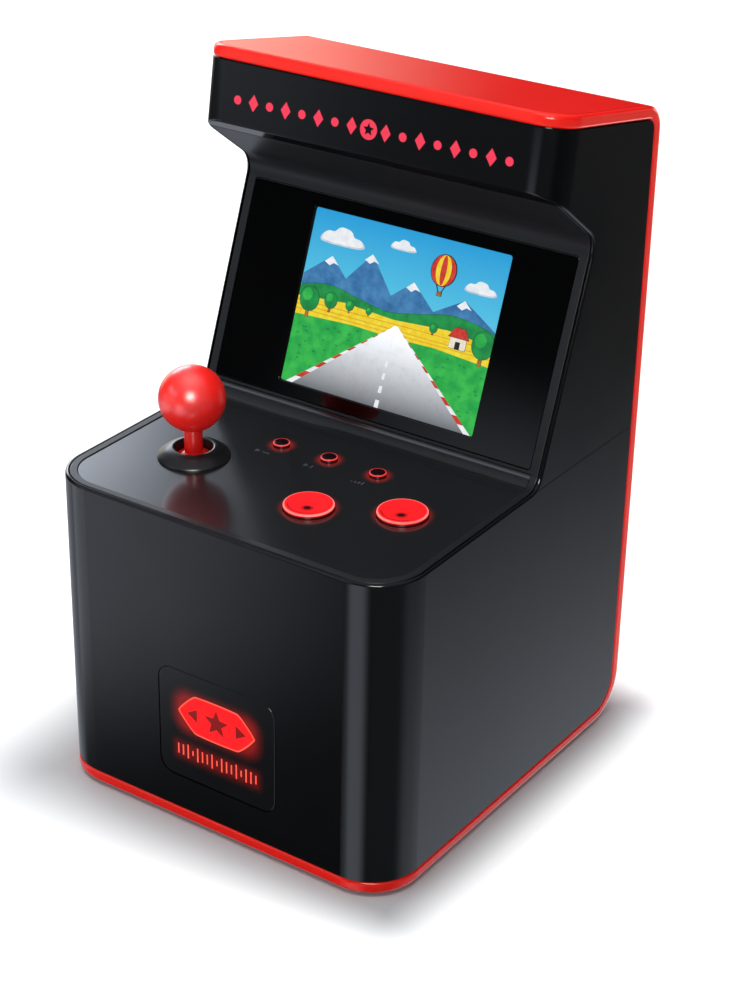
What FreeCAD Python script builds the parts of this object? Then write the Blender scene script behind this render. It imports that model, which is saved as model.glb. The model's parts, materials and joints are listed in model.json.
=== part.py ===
"""Bartop mini arcade cabinet, modelled piece by piece.

Millimetres.  +X is the player's right, +Y goes from the front to the back, +Z is up.
The origin is on the surface that the cabinet stands on, under the middle of its outline.
"""
import FreeCAD, Part
import math
import os
from FreeCAD import Placement, Rotation, Vector

# ---- driving dimensions of the case ----------------------------------------------------------
WIDTH = 84.8
DEPTH = 92.2
FOOT = 0.6                     # the rubber feet lift the case this much
WALL = 2.0                     # black shells
BASE_WALL = 2.8                # red wrap: base, back and roof
BACK_WALL = 3.2
ROOF_WALL = 2.64
LIP = 0.6                      # black edge left standing around the fascia
FASCIA_GROOVE = 0.3
FASCIA_WALL = 1.8
SEAM = 0.16                    # shadow gap where two covers meet
EDGE_ROUND = 0.55
WRAP_ROUND = 1.0               # outer edges of the red wrap
WRAP_SEAM_ROUND = 0.7          # its edges beside the black shells
ROOF_GROOVE = (1.1, 1.32)      # groove round the roof, in from its edges
ROOF_GROOVE_DEPTH = 0.25
FRONT_CORNER = 10.9            # plan radius of the lower case's front corners
BROW_CORNER = 6.6              # plan radius of the marquee's corners

# Side outline, as distance behind the front and height above the underside.
DECK_FRONT = (0.0, 69.6)
JUNCTION = (51.0, 70.5)
COVE = (68.3, 117.8)
BROW = (50.5, 130.9)
CROWN = (52.9, 146.0)
REAR_TOP = (DEPTH, 139.0)
JUNCTION_ROUND = 3.6
COVE_ROUND = 4.8
REAR_TOP_ROUND = 5.6
REAR_BASE_ROUND = 10.0
SIDE_SEAM = 70.6               # height of the joint between the two black shells
BROW_RETURN = 4.0              # how far the marquee turns back under itself

# ---- controls, in the deck's own axes: x, s back from its front edge, h above it -------------
PANEL_RECESS = 0.2
PANEL_THICK = 0.8
PANEL_MARGIN = 2.4
PANEL_GAP = 0.2
PANEL_TOP = 2.75               # how far the panel climbs the screen slope
STICK_AT = (-22.9, 24.0)
STICK_PIVOT = -5.0
BALL_HEIGHT = 12.65
BALL_R = 6.85
SHAFT_R = 1.9
TIP_R = 1.1                    # the shaft's end inside the ball
SKIRT_R = 6.2
BEZEL_R = 7.5
BEZEL_HOLE_R = 3.9
BEZEL_TOP = 2.0
BEZEL_NECK_R = 6.6
BEZEL_OUTLINE = [(BEZEL_NECK_R, -PANEL_RECESS), (BEZEL_R, -PANEL_RECESS), (BEZEL_R, 0.05),
                 (7.38, 0.27), (7.12, 0.52), (6.78, 0.80), (6.40, 1.08), (6.00, 1.35), (5.58, 1.60),
                 (5.15, 1.80), (4.72, 1.94), (4.35, BEZEL_TOP), (4.12, 1.95), (3.96, 1.80),
                 (BEZEL_HOLE_R, 1.60), (BEZEL_HOLE_R, 0.3), (6.0, -2.0), (BEZEL_NECK_R, -2.0)]
GIMBAL_IN_R = 6.5
GIMBAL_OUT_R = 8.0
GIMBAL_HALF = 0.9
GIMBAL_EAR_R = 1.5
PIN_R = 0.9
PIN_CLEARANCE = 0.05
HOUSING_HALF = 10.6
HOUSING_BORE_R = 8.4
HOUSING_FLOOR = -14.0
ACTION_BUTTONS = {"action_button_left": (9.46, 19.29), "action_button_right": (25.98, 27.38)}
SMALL_BUTTONS = {"menu_button_left": (-11.2, 38.1), "menu_button_middle": (0.6, 38.4),
                 "menu_button_right": (12.6, 38.4)}
ACTION_R = 5.05
ACTION_TOP = 0.8
ACTION_HOLE_R = 5.3
SMALL_R = 1.75
SMALL_TOP = 0.6
SMALL_HOLE_R = 1.95
STEM_END = -6.4
MEMBRANE_TOP = -7.6
MEMBRANE_BASE = -8.2
BOARD_THICK = 1.6

# ---- screen, in the slope's axes: x, s up the slope from the junction, h out of it -----------
LENS_HALF = 39.6
LENS_S = (3.28, 46.66)
LENS_THICK = 0.9
LENS_GAP = 0.12
LENS_SINK = 0.2                # its face, below the fascia's
LENS_EDGE_ROUND = 0.16
WINDOW_X = (-23.4, 25.0)
WINDOW_S = (6.3, 43.5)
LCD_BORDER = 2.2
LCD_THICK = 2.4

# ---- badge on the front ----------------------------------------------------------------------
BADGE_X = (-13.75, 15.7)
BADGE_Z = (10.5, 36.0)
BADGE_ROUND = 3.4
BADGE_THICK = 1.2
BADGE_GAP = 0.15
BADGE_SINK = 0.05              # its face, behind the case's front
BADGE_EDGE_ROUND = 0.2
BADGE_LEDGE = 3.5              # width of the ledge that the plate rests on
BADGE_BOARD_AT = 4.4           # the light board, behind the front
BADGE_BOARD_THICK = 1.2
BADGE_LIGHT_Z = (22.4, 24.4)
BADGE_LIGHT_PITCH = 6.0

# ---- back: battery bay, sockets, speaker -----------------------------------------------------
CELL_R = 7.15
CELL_LENGTH = 50.5
CELL_PITCH = 14.6
CELL_Z = 14.2                  # height of the cells' lower end
CELL_AT = 82.6                 # distance of their axes behind the front
TRAY_FACE = CELL_AT - CELL_R - 1.8
CONTACT_THICK = 0.4
BAY_HALF = 29.4                # opening for the cells
BAY_Z = (12.2, 65.4)
BAY_WALL = 1.4
DOOR_HALF = 31.0
DOOR_Z = (10.8, 66.8)
DOOR_THICK = 2.0
DOOR_GAP = 0.2
DOOR_PIN_R = 0.6
SOCKET_BOARD_TOP = 73.6
USB_X = -22.0
USB_SIZE = (7.6, 2.7)
JACK_X = 22.0
JACK_Z = 76.2
JACK_BORE_R = 1.78
JACK_BORE_LENGTH = 12.0
SWITCH_Z = 76.0
SLIDER_TRAVEL = 2.0
SLIDER_KNOB = (3.6, 2.8)
SPEAKER_Z = 106.0
SPEAKER_R = 13.0
SPEAKER_DEPTH = 5.6
SPEAKER_GAP = 2.6              # front ring of the speaker, off the back wall
SCREW_X = 35.5
CASE_SCREWS = [(-SCREW_X, 24.0), (SCREW_X, 24.0), (-SCREW_X, 122.0), (SCREW_X, 122.0)]
SCREW_SINK = 1.6               # depth of a case screw's seat
SCREW_BOSS_HALF = 2.8
SOCKET_POSTS = (-25.0, 25.0)
SOCKET_POST_IN = 2.6           # their holes, in from the back wall
FEET = [(-30.0, 13.0), (30.0, 13.0), (-30.0, 74.0), (30.0, 74.0)]
FOOT_R = 4.0

# ---- boards and posts inside, in the deck's and the slope's axes -----------------------------
BOARD_POSTS = [(-8.5, 9.6), (32.5, 9.6), (32.5, 44.4), (-15.5, 44.4)]
BRACKET_POSTS = [(-36.0, 8.0), (36.0, 8.0), (-36.0, 41.0), (36.0, 41.0)]
BRACKET_TOP = -3.7
BRACKET_THICK = 1.0
POST_R = 1.9
SCREW_HOLE_R = 1.0             # clearance hole of a small screw
PILOT_R = 0.85
MAIN_BOARD_TOP = -8.6
MAIN_BOARD_HALF = 30.0
MAIN_BOARD_S = (4.5, 46.5)
BATTERY_PLUG_S = 6.0
SPEAKER_PLUG_S = 36.0
WIRE_R = 0.55

FRONT = -DEPTH / 2
REAR = DEPTH / 2
FAR = 60.0                     # reach of a cutting solid past the case


# ---- small helpers ---------------------------------------------------------------------------
def box(x_range, y_range, z_range):
    (x0, x1), (y0, y1), (z0, z1) = x_range, y_range, z_range
    return Part.makeBox(x1 - x0, y1 - y0, z1 - z0, Vector(x0, y0, z0))


def behind(distance):
    """Y of a point that far behind the front."""
    return FRONT + distance


def above(height):
    """Z of a point that far above the case's underside."""
    return FOOT + height


def rounded_box(x_range, y_range, z_range, radius, axis):
    """A box whose four edges along one axis ('x', 'y' or 'z') are rounded."""
    solid = box(x_range, y_range, z_range)
    along = {"x": Vector(1, 0, 0), "y": Vector(0, 1, 0), "z": Vector(0, 0, 1)}[axis]
    edges = [e for e in solid.Edges if abs(e.tangentAt(e.FirstParameter).dot(along)) > 0.99]
    return solid.makeFillet(radius, edges)


def polygon_wire(corners, x):
    """Closed wire in the plane at x through (y, z, radius) corners."""
    turns = []
    count = len(corners)
    for i, (y, z, radius) in enumerate(corners):
        here = Vector(x, y, z)
        to_last = Vector(x, corners[i - 1][0], corners[i - 1][1]).sub(here).normalize()
        ahead = corners[(i + 1) % count]
        to_next = Vector(x, ahead[0], ahead[1]).sub(here).normalize()
        if radius <= 0:
            turns.append((here, None, here))
            continue
        half = to_last.getAngle(to_next) / 2
        inward = to_last.add(to_next).normalize()
        reach = radius / math.tan(half)
        middle = here + inward * (radius / math.sin(half) - radius)
        turns.append((here + to_last * reach, middle, here + to_next * reach))
    edges = []
    for i, (start, middle, end) in enumerate(turns):
        if middle is not None:
            edges.append(Part.Arc(start, middle, end).toShape())
        edges.append(Part.makeLine(end, turns[(i + 1) % count][0]))
    return Part.Wire(edges)


def prism(corners, half_width):
    """Solid of a side outline, as wide as twice half_width."""
    face = Part.Face(polygon_wire(corners, -half_width))
    return face.extrude(Vector(2 * half_width, 0, 0))


def inset(corners, distances):
    """Move each side of a clockwise outline inwards by its own distance."""
    lines = []
    count = len(corners)
    for i, (y, z, _) in enumerate(corners):
        ahead = corners[(i + 1) % count]
        dy, dz = ahead[0] - y, ahead[1] - z
        length = math.hypot(dy, dz)
        lines.append((y + dz / length * distances[i], z - dy / length * distances[i], dy, dz))
    moved = []
    for i, (_, _, radius) in enumerate(corners):
        ay, az, ady, adz = lines[i - 1]
        by, bz, bdy, bdz = lines[i]
        cross = ady * bdz - adz * bdy
        t = ((by - ay) * bdz - (bz - az) * bdy) / cross
        step = max(distances[i - 1], distances[i])
        turned = radius - step if cross < 0 else radius + step
        moved.append((ay + ady * t, az + adz * t, max(turned, 0.0) if radius > 0 else 0.0))
    return moved


def edge_between(solid, start, end):
    """The solid's straight edge that joins two points."""
    for edge in solid.Edges:
        ends = [v.Point for v in edge.Vertexes]
        if len(ends) != 2:
            continue
        for first, last in (ends, ends[::-1]):
            if first.distanceToPoint(start) < 1e-4 and last.distanceToPoint(end) < 1e-4:
                return edge
    raise ValueError("no such edge: %s %s" % (start, end))


def revolve(points, centre=(0.0, 0.0)):
    """Solid of revolution about a vertical axis from (radius, height) points."""
    loop = [Vector(r + centre[0], centre[1], h) for r, h in points]
    face = Part.Face(Part.makePolygon(loop + loop[:1]))
    return face.revolve(Vector(centre[0], centre[1], 0), Vector(0, 0, 1), 360)


def cylinder(radius, low, high, centre=(0.0, 0.0)):
    return Part.makeCylinder(radius, high - low, Vector(centre[0], centre[1], low))


def rod(radius, start, end):
    """Cylinder from one point to another."""
    start, end = Vector(*start), Vector(*end)
    axis = end.sub(start)
    return Part.makeCylinder(radius, axis.Length, start, axis)


def frame_on(low, high):
    """Axes of a slope from one side-outline point to the next: x, s up it, h out of it."""
    angle = math.degrees(math.atan2(high[1] - low[1], high[0] - low[0]))
    return Placement(Vector(0, behind(low[0]), above(low[1])), Rotation(Vector(1, 0, 0), angle))


DECK = frame_on(DECK_FRONT, JUNCTION)
SLOPE = frame_on(JUNCTION, COVE)


def placed(shape, frame):
    moved = shape.copy()
    moved.Placement = frame.multiply(shape.Placement)
    return moved


# ---- the case's outline ----------------------------------------------------------------------
def outline():
    corners = [(0.0, 0.0, 0.0), DECK_FRONT + (0.0,), JUNCTION + (JUNCTION_ROUND,),
               COVE + (COVE_ROUND,), BROW + (0.0,), CROWN + (0.0,),
               REAR_TOP + (REAR_TOP_ROUND,), (DEPTH, 0.0, REAR_BASE_ROUND)]
    return [(behind(f), above(z), r) for f, z, r in corners]


def envelope(step=0.0, edge_round=0.0):
    """The whole cabinet as one solid, moved in by step on every face.

    With edge_round its edges are rounded too; the wrap's outer edges run into each other all
    the way round, so one edge stands for them.
    """
    corners = inset(outline(), [step] * 8)
    half = WIDTH / 2 - step
    solid = prism(corners, half)
    posts = []
    for x in (-half, half):
        for low, high, radius in ((0, 1, FRONT_CORNER - step), (4, 5, BROW_CORNER - step)):
            start = Vector(x, corners[low][0], corners[low][1])
            end = Vector(x, corners[high][0], corners[high][1])
            posts.append((start, end, radius))
    for radius in sorted({p[2] for p in posts}):
        edges = [edge_between(solid, start, end) for start, end, r in posts if r == radius]
        solid = solid.makeFillet(radius, edges)
    if edge_round:
        y, z, _ = corners[0]
        reach = half - FRONT_CORNER
        wrap_edge = edge_between(solid, Vector(-reach, y, z), Vector(reach, y, z))
        solid = soften(solid.makeFillet(WRAP_ROUND, [wrap_edge]), edge_round)
    return solid


def soften(solid, radius):
    """Round every edge where two faces meet at an angle."""
    sharp = []
    for edge in solid.Edges:
        faces = solid.ancestorsOfType(edge, Part.Face)
        if len(faces) == 2 and not smooth_edge(edge, faces):
            sharp.append(edge)
    return solid.makeFillet(radius, sharp)


def smooth_edge(edge, faces):
    middle = edge.valueAt((edge.FirstParameter + edge.LastParameter) / 2)
    normals = []
    for face in faces:
        u, v = face.Surface.parameter(middle)
        normals.append(face.normalAt(u, v))
    return abs(normals[0].dot(normals[1])) > 0.999


def sheet(top, bottom, start, half, corner, climb=None, short_of_brow=BROW_RETURN):
    """Sheet between two depths under the outline, from the deck's front edge upwards.

    It ends climb mm up the screen slope, or else under the brow.
    """
    up, back = side_direction(JUNCTION, COVE), side_direction(BROW, COVE)
    chains = []
    for depth in (top, bottom):
        corners = inset(outline(), [depth] * 8)
        (y1, z1, _), (y2, z2, _) = corners[1], corners[2]
        y = behind(start)
        chain = [(y, z1 + (z2 - z1) * (y - y1) / (y2 - y1), 0.0), corners[2]]
        if climb is None:
            foot = (BROW[0] + back[0] * short_of_brow - back[1] * depth,
                    BROW[1] + back[1] * short_of_brow + back[0] * depth)
            chain.append(corners[3])
        else:
            foot = (JUNCTION[0] + up[0] * climb + up[1] * depth,
                    JUNCTION[1] + up[1] * climb - up[0] * depth)
        chain.append((behind(foot[0]), above(foot[1]), 0.0))
        chains.append(chain)
    solid = prism(chains[0] + chains[1][::-1], half)
    (y1, z1, _), (y2, z2, _) = chains[0][0], chains[1][0]
    edges = [edge_between(solid, Vector(x, y1, z1), Vector(x, y2, z2)) for x in (-half, half)]
    return solid.makeFillet(corner, edges)


def side_direction(start, end):
    dy, dz = end[0] - start[0], end[1] - start[1]
    length = math.hypot(dy, dz)
    return dy / length, dz / length


# ---- covers ----------------------------------------------------------------------------------
def roof_height(distance):
    slope = (CROWN[1] - REAR_TOP[1]) / (REAR_TOP[0] - CROWN[0])
    return CROWN[1] - slope * (distance - CROWN[0])


def wrap_inside(step=0.0):
    """Everything in front of the red wrap's inner face, as a prism wider than the case."""
    ahead, back = -20.0, DEPTH - BACK_WALL
    drop = ROOF_WALL * math.hypot(1.0, roof_height(0.0) - roof_height(1.0))
    corners = [(ahead, BASE_WALL, 0.0), (ahead, roof_height(ahead) - drop, 0.0),
               (back, roof_height(back) - drop, REAR_TOP_ROUND - BACK_WALL),
               (back, BASE_WALL, REAR_BASE_ROUND - BACK_WALL)]
    corners = [(behind(f), above(z), r) for f, z, r in corners]
    return prism(inset(corners, [step] * 4), WIDTH / 2 + 5.0)


def shell_inside():
    """The hollow between the black walls, open below, behind, above and in front of the screen.

    One prism clears the case below the marquee, the other the marquee itself.
    """
    walls = inset(outline(), [WALL] * 8)
    (brow_y, brow_z, _), (crown_y, crown_z, _) = walls[4], walls[5]
    back = side_direction(BROW, COVE)
    turn = (BROW[0] + back[0] * BROW_RETURN, BROW[1] + back[1] * BROW_RETURN)
    outer_turn = (behind(turn[0] + back[1] * 5.0), above(turn[1] - back[0] * 5.0), 0.0)
    inner_turn = (behind(turn[0] - back[1] * WALL), above(turn[1] + back[0] * WALL), 0.0)
    past_rear, below, mid, over = REAR + 10.0, above(-10.0), above(135.0), above(165.0)
    low, high = (behind(WALL), below, 0.0), (behind(WALL), above(112.0), 0.0)
    case = [low, high, outer_turn, inner_turn, (behind(70.0), mid, 0.0), (past_rear, mid, 0.0),
            (past_rear, below, 0.0)]
    lean = (crown_y - brow_y) / (crown_z - brow_z)
    brow_in = (brow_y, brow_z, 0.0)
    crown_in = (crown_y + lean * (over - crown_z), over, 0.0)
    drop = back[1] / back[0] * (past_rear - brow_y)
    marquee = [brow_in, crown_in, (past_rear, over, 0.0), (past_rear, brow_z + drop, 0.0)]
    half = WIDTH / 2 - WALL
    hollows = []
    for corners, radius in ((case, FRONT_CORNER), (marquee, BROW_CORNER)):
        solid = prism(corners, half)
        (y0, z0, _), (y1, z1, _) = corners[0], corners[1]
        edges = [edge_between(solid, Vector(x, y0, z0), Vector(x, y1, z1)) for x in (-half, half)]
        hollows.append(solid.makeFillet(radius - WALL, edges))
    return hollows


def side_boss(side, height, reach):
    """Block on a side wall's inside that a case screw bites into."""
    x = side * SCREW_X
    block = box(sorted((x - side * SCREW_BOSS_HALF, side * (WIDTH / 2 - WALL + 0.5))),
                (behind(DEPTH - BACK_WALL - reach), behind(DEPTH - BACK_WALL)),
                (above(height - SCREW_BOSS_HALF), above(height + SCREW_BOSS_HALF)))
    hole = rod(1.25, (x, behind(DEPTH - BACK_WALL - reach + 1.0), above(height)),
               (x, behind(DEPTH), above(height)))
    return block.cut(hole)


def badge_plate(gap, thick):
    """Rounded square let into the front wall; with no gap it is the recess, open to the front."""
    front = FRONT + BADGE_SINK if gap else FRONT - 3.0
    return rounded_box((BADGE_X[0] + gap, BADGE_X[1] - gap), (front, FRONT + thick),
                       (above(BADGE_Z[0] + gap), above(BADGE_Z[1] - gap)), BADGE_ROUND - gap, "y")


def badge_posts():
    posts = []
    for x in (BADGE_X[0] + 0.6, BADGE_X[1] - 0.6):
        for z in (BADGE_Z[0] + 1.5, BADGE_Z[1] - 1.5):
            posts.append(rod(1.4, (x, behind(WALL - 0.4), above(z)),
                             (x, behind(BADGE_BOARD_AT), above(z))))
    return posts


def covers():
    """Red wrap, lower black shell and upper black shell."""
    whole = envelope(0.0, EDGE_ROUND)
    skin = envelope().cut(envelope(0.8))
    inside = wrap_inside()
    wrap = round_seam(whole.cut(inside)).cut(roof_groove())
    black = whole.common(inside).cut(shell_inside())
    black = black.cut(sheet(-3.0, FASCIA_WALL, LIP, WIDTH / 2 - LIP, FRONT_CORNER - LIP))
    black = black.cut(inside.cut(wrap_inside(SEAM)).common(skin))
    wide = (-FAR, FAR)
    seam = box(wide, (behind(50.0), REAR), (above(SIDE_SEAM - SEAM), above(SIDE_SEAM)))
    black = black.cut(seam.common(skin))
    lower = black.common(box(wide, wide, (above(-5.0), above(SIDE_SEAM))))
    upper = black.common(box(wide, wide, (above(SIDE_SEAM), above(160.0))))
    for x, z in CASE_SCREWS:
        side = math.copysign(1.0, x)
        if z < SIDE_SEAM:
            lower = lower.fuse(side_boss(side, z, 15.0))
        else:
            upper = upper.fuse(side_boss(side, z, 12.0))
    window = rounded_box((BADGE_X[0] + BADGE_LEDGE, BADGE_X[1] - BADGE_LEDGE),
                         (FRONT - 1.0, behind(WALL + 1.0)),
                         (above(BADGE_Z[0] + BADGE_LEDGE), above(BADGE_Z[1] - BADGE_LEDGE)),
                         1.5, "y")
    lower = lower.cut(badge_plate(0.0, BADGE_THICK)).cut(window).fuse(badge_posts())
    return {"rear_wrap": cut_rear_wrap(wrap), "lower_shell": lower.removeSplitter(),
            "upper_shell": upper.removeSplitter()}


def round_seam(wrap):
    """Round the wrap's edge beside the black shells; it runs on all the way round too."""
    reach = WIDTH / 2 - FRONT_CORNER
    z = above(BASE_WALL)
    return wrap.makeFillet(WRAP_SEAM_ROUND,
                           [edge_between(wrap, Vector(-reach, FRONT, z), Vector(reach, FRONT, z))])


def roof_groove():
    """Shallow groove round the roof, which runs on down the back near both sides."""
    low, high, past = above(REAR_BASE_ROUND + 2.0), above(CROWN[1] + 10.0), REAR + 20.0
    rings = []
    for step in ROOF_GROOVE:
        half = WIDTH / 2 - step
        rings.append(rounded_box((-half, half), (behind(CROWN[0] + step), past), (low, high),
                                 BROW_CORNER - step, "z"))
    ring = rings[0].cut(rings[1])
    return ring.common(envelope().cut(envelope(ROOF_GROOVE_DEPTH)))


def cut_rear_wrap(wrap):
    inner, outer = behind(DEPTH - BACK_WALL - 1.0), REAR + 1.0
    cuts = [box((-BAY_HALF, BAY_HALF), (inner, outer), (above(BAY_Z[0]), above(BAY_Z[1])))]
    rebate_floor = REAR - DOOR_THICK - DOOR_GAP
    cuts.append(box((-DOOR_HALF - DOOR_GAP, DOOR_HALF + DOOR_GAP), (rebate_floor, outer),
                    (above(DOOR_Z[0] - DOOR_GAP), above(DOOR_Z[1] + DOOR_GAP))))
    y, z = door_axis()
    pin_end = DOOR_HALF + 1.2
    cuts.append(rod(DOOR_PIN_R + PIN_CLEARANCE, (-pin_end, y, z), (pin_end, y, z)))
    cuts.append(rod(3.0, (0.0, REAR, above(DOOR_Z[1] + 1.6)),
                    (0.0, REAR - 1.2, above(DOOR_Z[1] + 0.4))))
    for x, height in CASE_SCREWS:
        cuts.append(rod(2.7, (x, REAR - SCREW_SINK, above(height)), (x, outer, above(height))))
        cuts.append(rod(1.35, (x, inner, above(height)), (x, outer, above(height))))
    width, tall = USB_SIZE[0] + 0.6, USB_SIZE[1] + 0.6
    usb_z = above(SOCKET_BOARD_TOP + USB_SIZE[1] / 2)
    cuts.append(rounded_box((USB_X - width / 2, USB_X + width / 2), (inner, outer),
                            (usb_z - tall / 2, usb_z + tall / 2), 0.8, "y"))
    cuts.append(rod(2.6, (JACK_X, inner, above(JACK_Z)), (JACK_X, outer, above(JACK_Z))))
    knob_w, knob_h = SLIDER_KNOB
    for grow, depth in ((0.3, BACK_WALL + 1.0), (1.6, 0.9)):
        half_w, half_h = (knob_w + SLIDER_TRAVEL) / 2 + grow, knob_h / 2 + grow
        cuts.append(rounded_box((-half_w, half_w), (REAR - depth, outer),
                                (above(SWITCH_Z) - half_h, above(SWITCH_Z) + half_h), 0.6, "y"))
    cuts += speaker_slots(inner, outer)
    for x, distance in FEET:
        cuts.append(cylinder(FOOT_R + 0.2, 0.0, above(0.8), (x, behind(distance))))
    for cut in cuts:
        wrap = wrap.cut(cut)
    board_base = above(SOCKET_BOARD_TOP - BOARD_THICK)
    for x in SOCKET_POSTS:
        ledge = box((x - 3.0, x + 3.0),
                    (behind(DEPTH - BACK_WALL - 5.0), behind(DEPTH - BACK_WALL + 0.5)),
                    (board_base - 3.0, board_base))
        hole = cylinder(0.8, board_base - 2.5, board_base + BOARD_THICK,
                        (x, behind(DEPTH - BACK_WALL - SOCKET_POST_IN)))
        wrap = wrap.fuse(ledge.cut(hole))
    return wrap.removeSplitter()


def speaker_slots(inner, outer):
    slots = []
    pitch, half_width, reach = 3.2, 0.8, SPEAKER_R - 2.5
    for i in range(-3, 4):
        x = i * pitch
        half = math.sqrt(reach ** 2 - x ** 2)
        slots.append(rounded_box((x - half_width, x + half_width), (inner, outer),
                                 (above(SPEAKER_Z) - half, above(SPEAKER_Z) + half), 0.75, "y"))
    return slots


# ---- front fascia, control panel and screen --------------------------------------------------
def button_list():
    """Every button as (name, place, radius, cap top, hole radius)."""
    rows = [(n, p, ACTION_R, ACTION_TOP, ACTION_HOLE_R) for n, p in ACTION_BUTTONS.items()]
    return rows + [(n, p, SMALL_R, SMALL_TOP, SMALL_HOLE_R) for n, p in SMALL_BUTTONS.items()]


def control_holes():
    """What the stick's bezel and the buttons pass through, in the deck's axes."""
    holes = [cylinder(BEZEL_NECK_R + 0.1, -10.0, 5.0, STICK_AT)]
    holes += [cylinder(hole, -10.0, 5.0, place) for _, place, _, _, hole in button_list()]
    return [placed(hole, DECK) for hole in holes]


def fascia():
    edge = LIP + FASCIA_GROOVE
    solid = sheet(0.0, FASCIA_WALL, edge, WIDTH / 2 - edge, FRONT_CORNER - edge,
                  short_of_brow=BROW_RETURN + 0.25)
    solid = soften(solid, 0.2)
    solid = solid.cut(sheet(-3.0, PANEL_RECESS + PANEL_THICK, PANEL_MARGIN,
                            WIDTH / 2 - PANEL_MARGIN, FRONT_CORNER - PANEL_MARGIN,
                            climb=PANEL_TOP))
    lens = rounded_box((-LENS_HALF, LENS_HALF), LENS_S, (-LENS_SINK - LENS_THICK, 5.0), 0.8, "z")
    solid = solid.cut(placed(lens, SLOPE))
    window = rounded_box((WINDOW_X[0] - LCD_BORDER, WINDOW_X[1] + LCD_BORDER),
                         (WINDOW_S[0] - 1.9, WINDOW_S[1] + 1.9), (-10.0, 5.0), 0.5, "z")
    solid = solid.cut(placed(window, SLOPE))
    for hole in control_holes():
        solid = solid.cut(hole)
    bite = FASCIA_WALL - 0.4
    for place in BOARD_POSTS:
        post = cylinder(POST_R, MEMBRANE_BASE, -bite, place)
        post = post.cut(cylinder(PILOT_R, MEMBRANE_BASE - 1.0, -3.2, place))
        solid = solid.fuse(placed(post, DECK))
    for place in BRACKET_POSTS:
        post = cylinder(POST_R, BRACKET_TOP, -bite, place)
        post = post.cut(cylinder(PILOT_R, BRACKET_TOP - 1.0, -2.2, place))
        solid = solid.fuse(placed(post, SLOPE))
    return solid.removeSplitter()


def control_panel():
    edge = PANEL_MARGIN + PANEL_GAP
    solid = sheet(PANEL_RECESS, PANEL_RECESS + PANEL_THICK, edge, WIDTH / 2 - edge,
                  FRONT_CORNER - edge, climb=PANEL_TOP - PANEL_GAP)
    for hole in control_holes():
        solid = solid.cut(hole)
    return solid.removeSplitter()


def screen_parts():
    panel_top = -LENS_SINK - LENS_THICK
    lens = rounded_box((-LENS_HALF + LENS_GAP, LENS_HALF - LENS_GAP),
                       (LENS_S[0] + LENS_GAP, LENS_S[1] - LENS_GAP),
                       (panel_top, -LENS_SINK), 0.7, "z")
    lens = lens.cut(rounded_box(WINDOW_X, WINDOW_S, (-5.0, 5.0), 0.6, "z"))
    panel = rounded_box((WINDOW_X[0] - LCD_BORDER + 0.2, WINDOW_X[1] + LCD_BORDER - 0.2),
                        (WINDOW_S[0] - 1.7, WINDOW_S[1] + 1.7),
                        (panel_top - LCD_THICK, panel_top), 0.3, "z")
    low = BRACKET_TOP - BRACKET_THICK
    bracket = rounded_box((-38.4, 38.4), (5.5, 44.0), (low, BRACKET_TOP), 1.5, "z")
    bracket = bracket.cut(rounded_box((-20.0, 20.0), (13.0, 37.0), (-20.0, 0.0), 2.0, "z"))
    for place in BRACKET_POSTS:
        bracket = bracket.cut(cylinder(SCREW_HOLE_R, -20.0, 0.0, place))
    for place in board_corners():
        standoff = cylinder(1.6, MAIN_BOARD_TOP, low + 0.3, place)
        pilot = cylinder(PILOT_R, MAIN_BOARD_TOP - 1.0, low - 0.6, place)
        bracket = bracket.fuse(standoff.cut(pilot))
    parts = {"screen_lens": soften_top(lens, -LENS_SINK, LENS_EDGE_ROUND), "display_panel": panel,
             "display_bracket": bracket}
    return {name: placed(solid, SLOPE) for name, solid in parts.items()}


def board_corners():
    low, high = MAIN_BOARD_S[0] + 3.5, MAIN_BOARD_S[1] - 4.5
    return [(x, s) for x in (3.0 - MAIN_BOARD_HALF, MAIN_BOARD_HALF - 3.0) for s in (low, high)]


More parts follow.
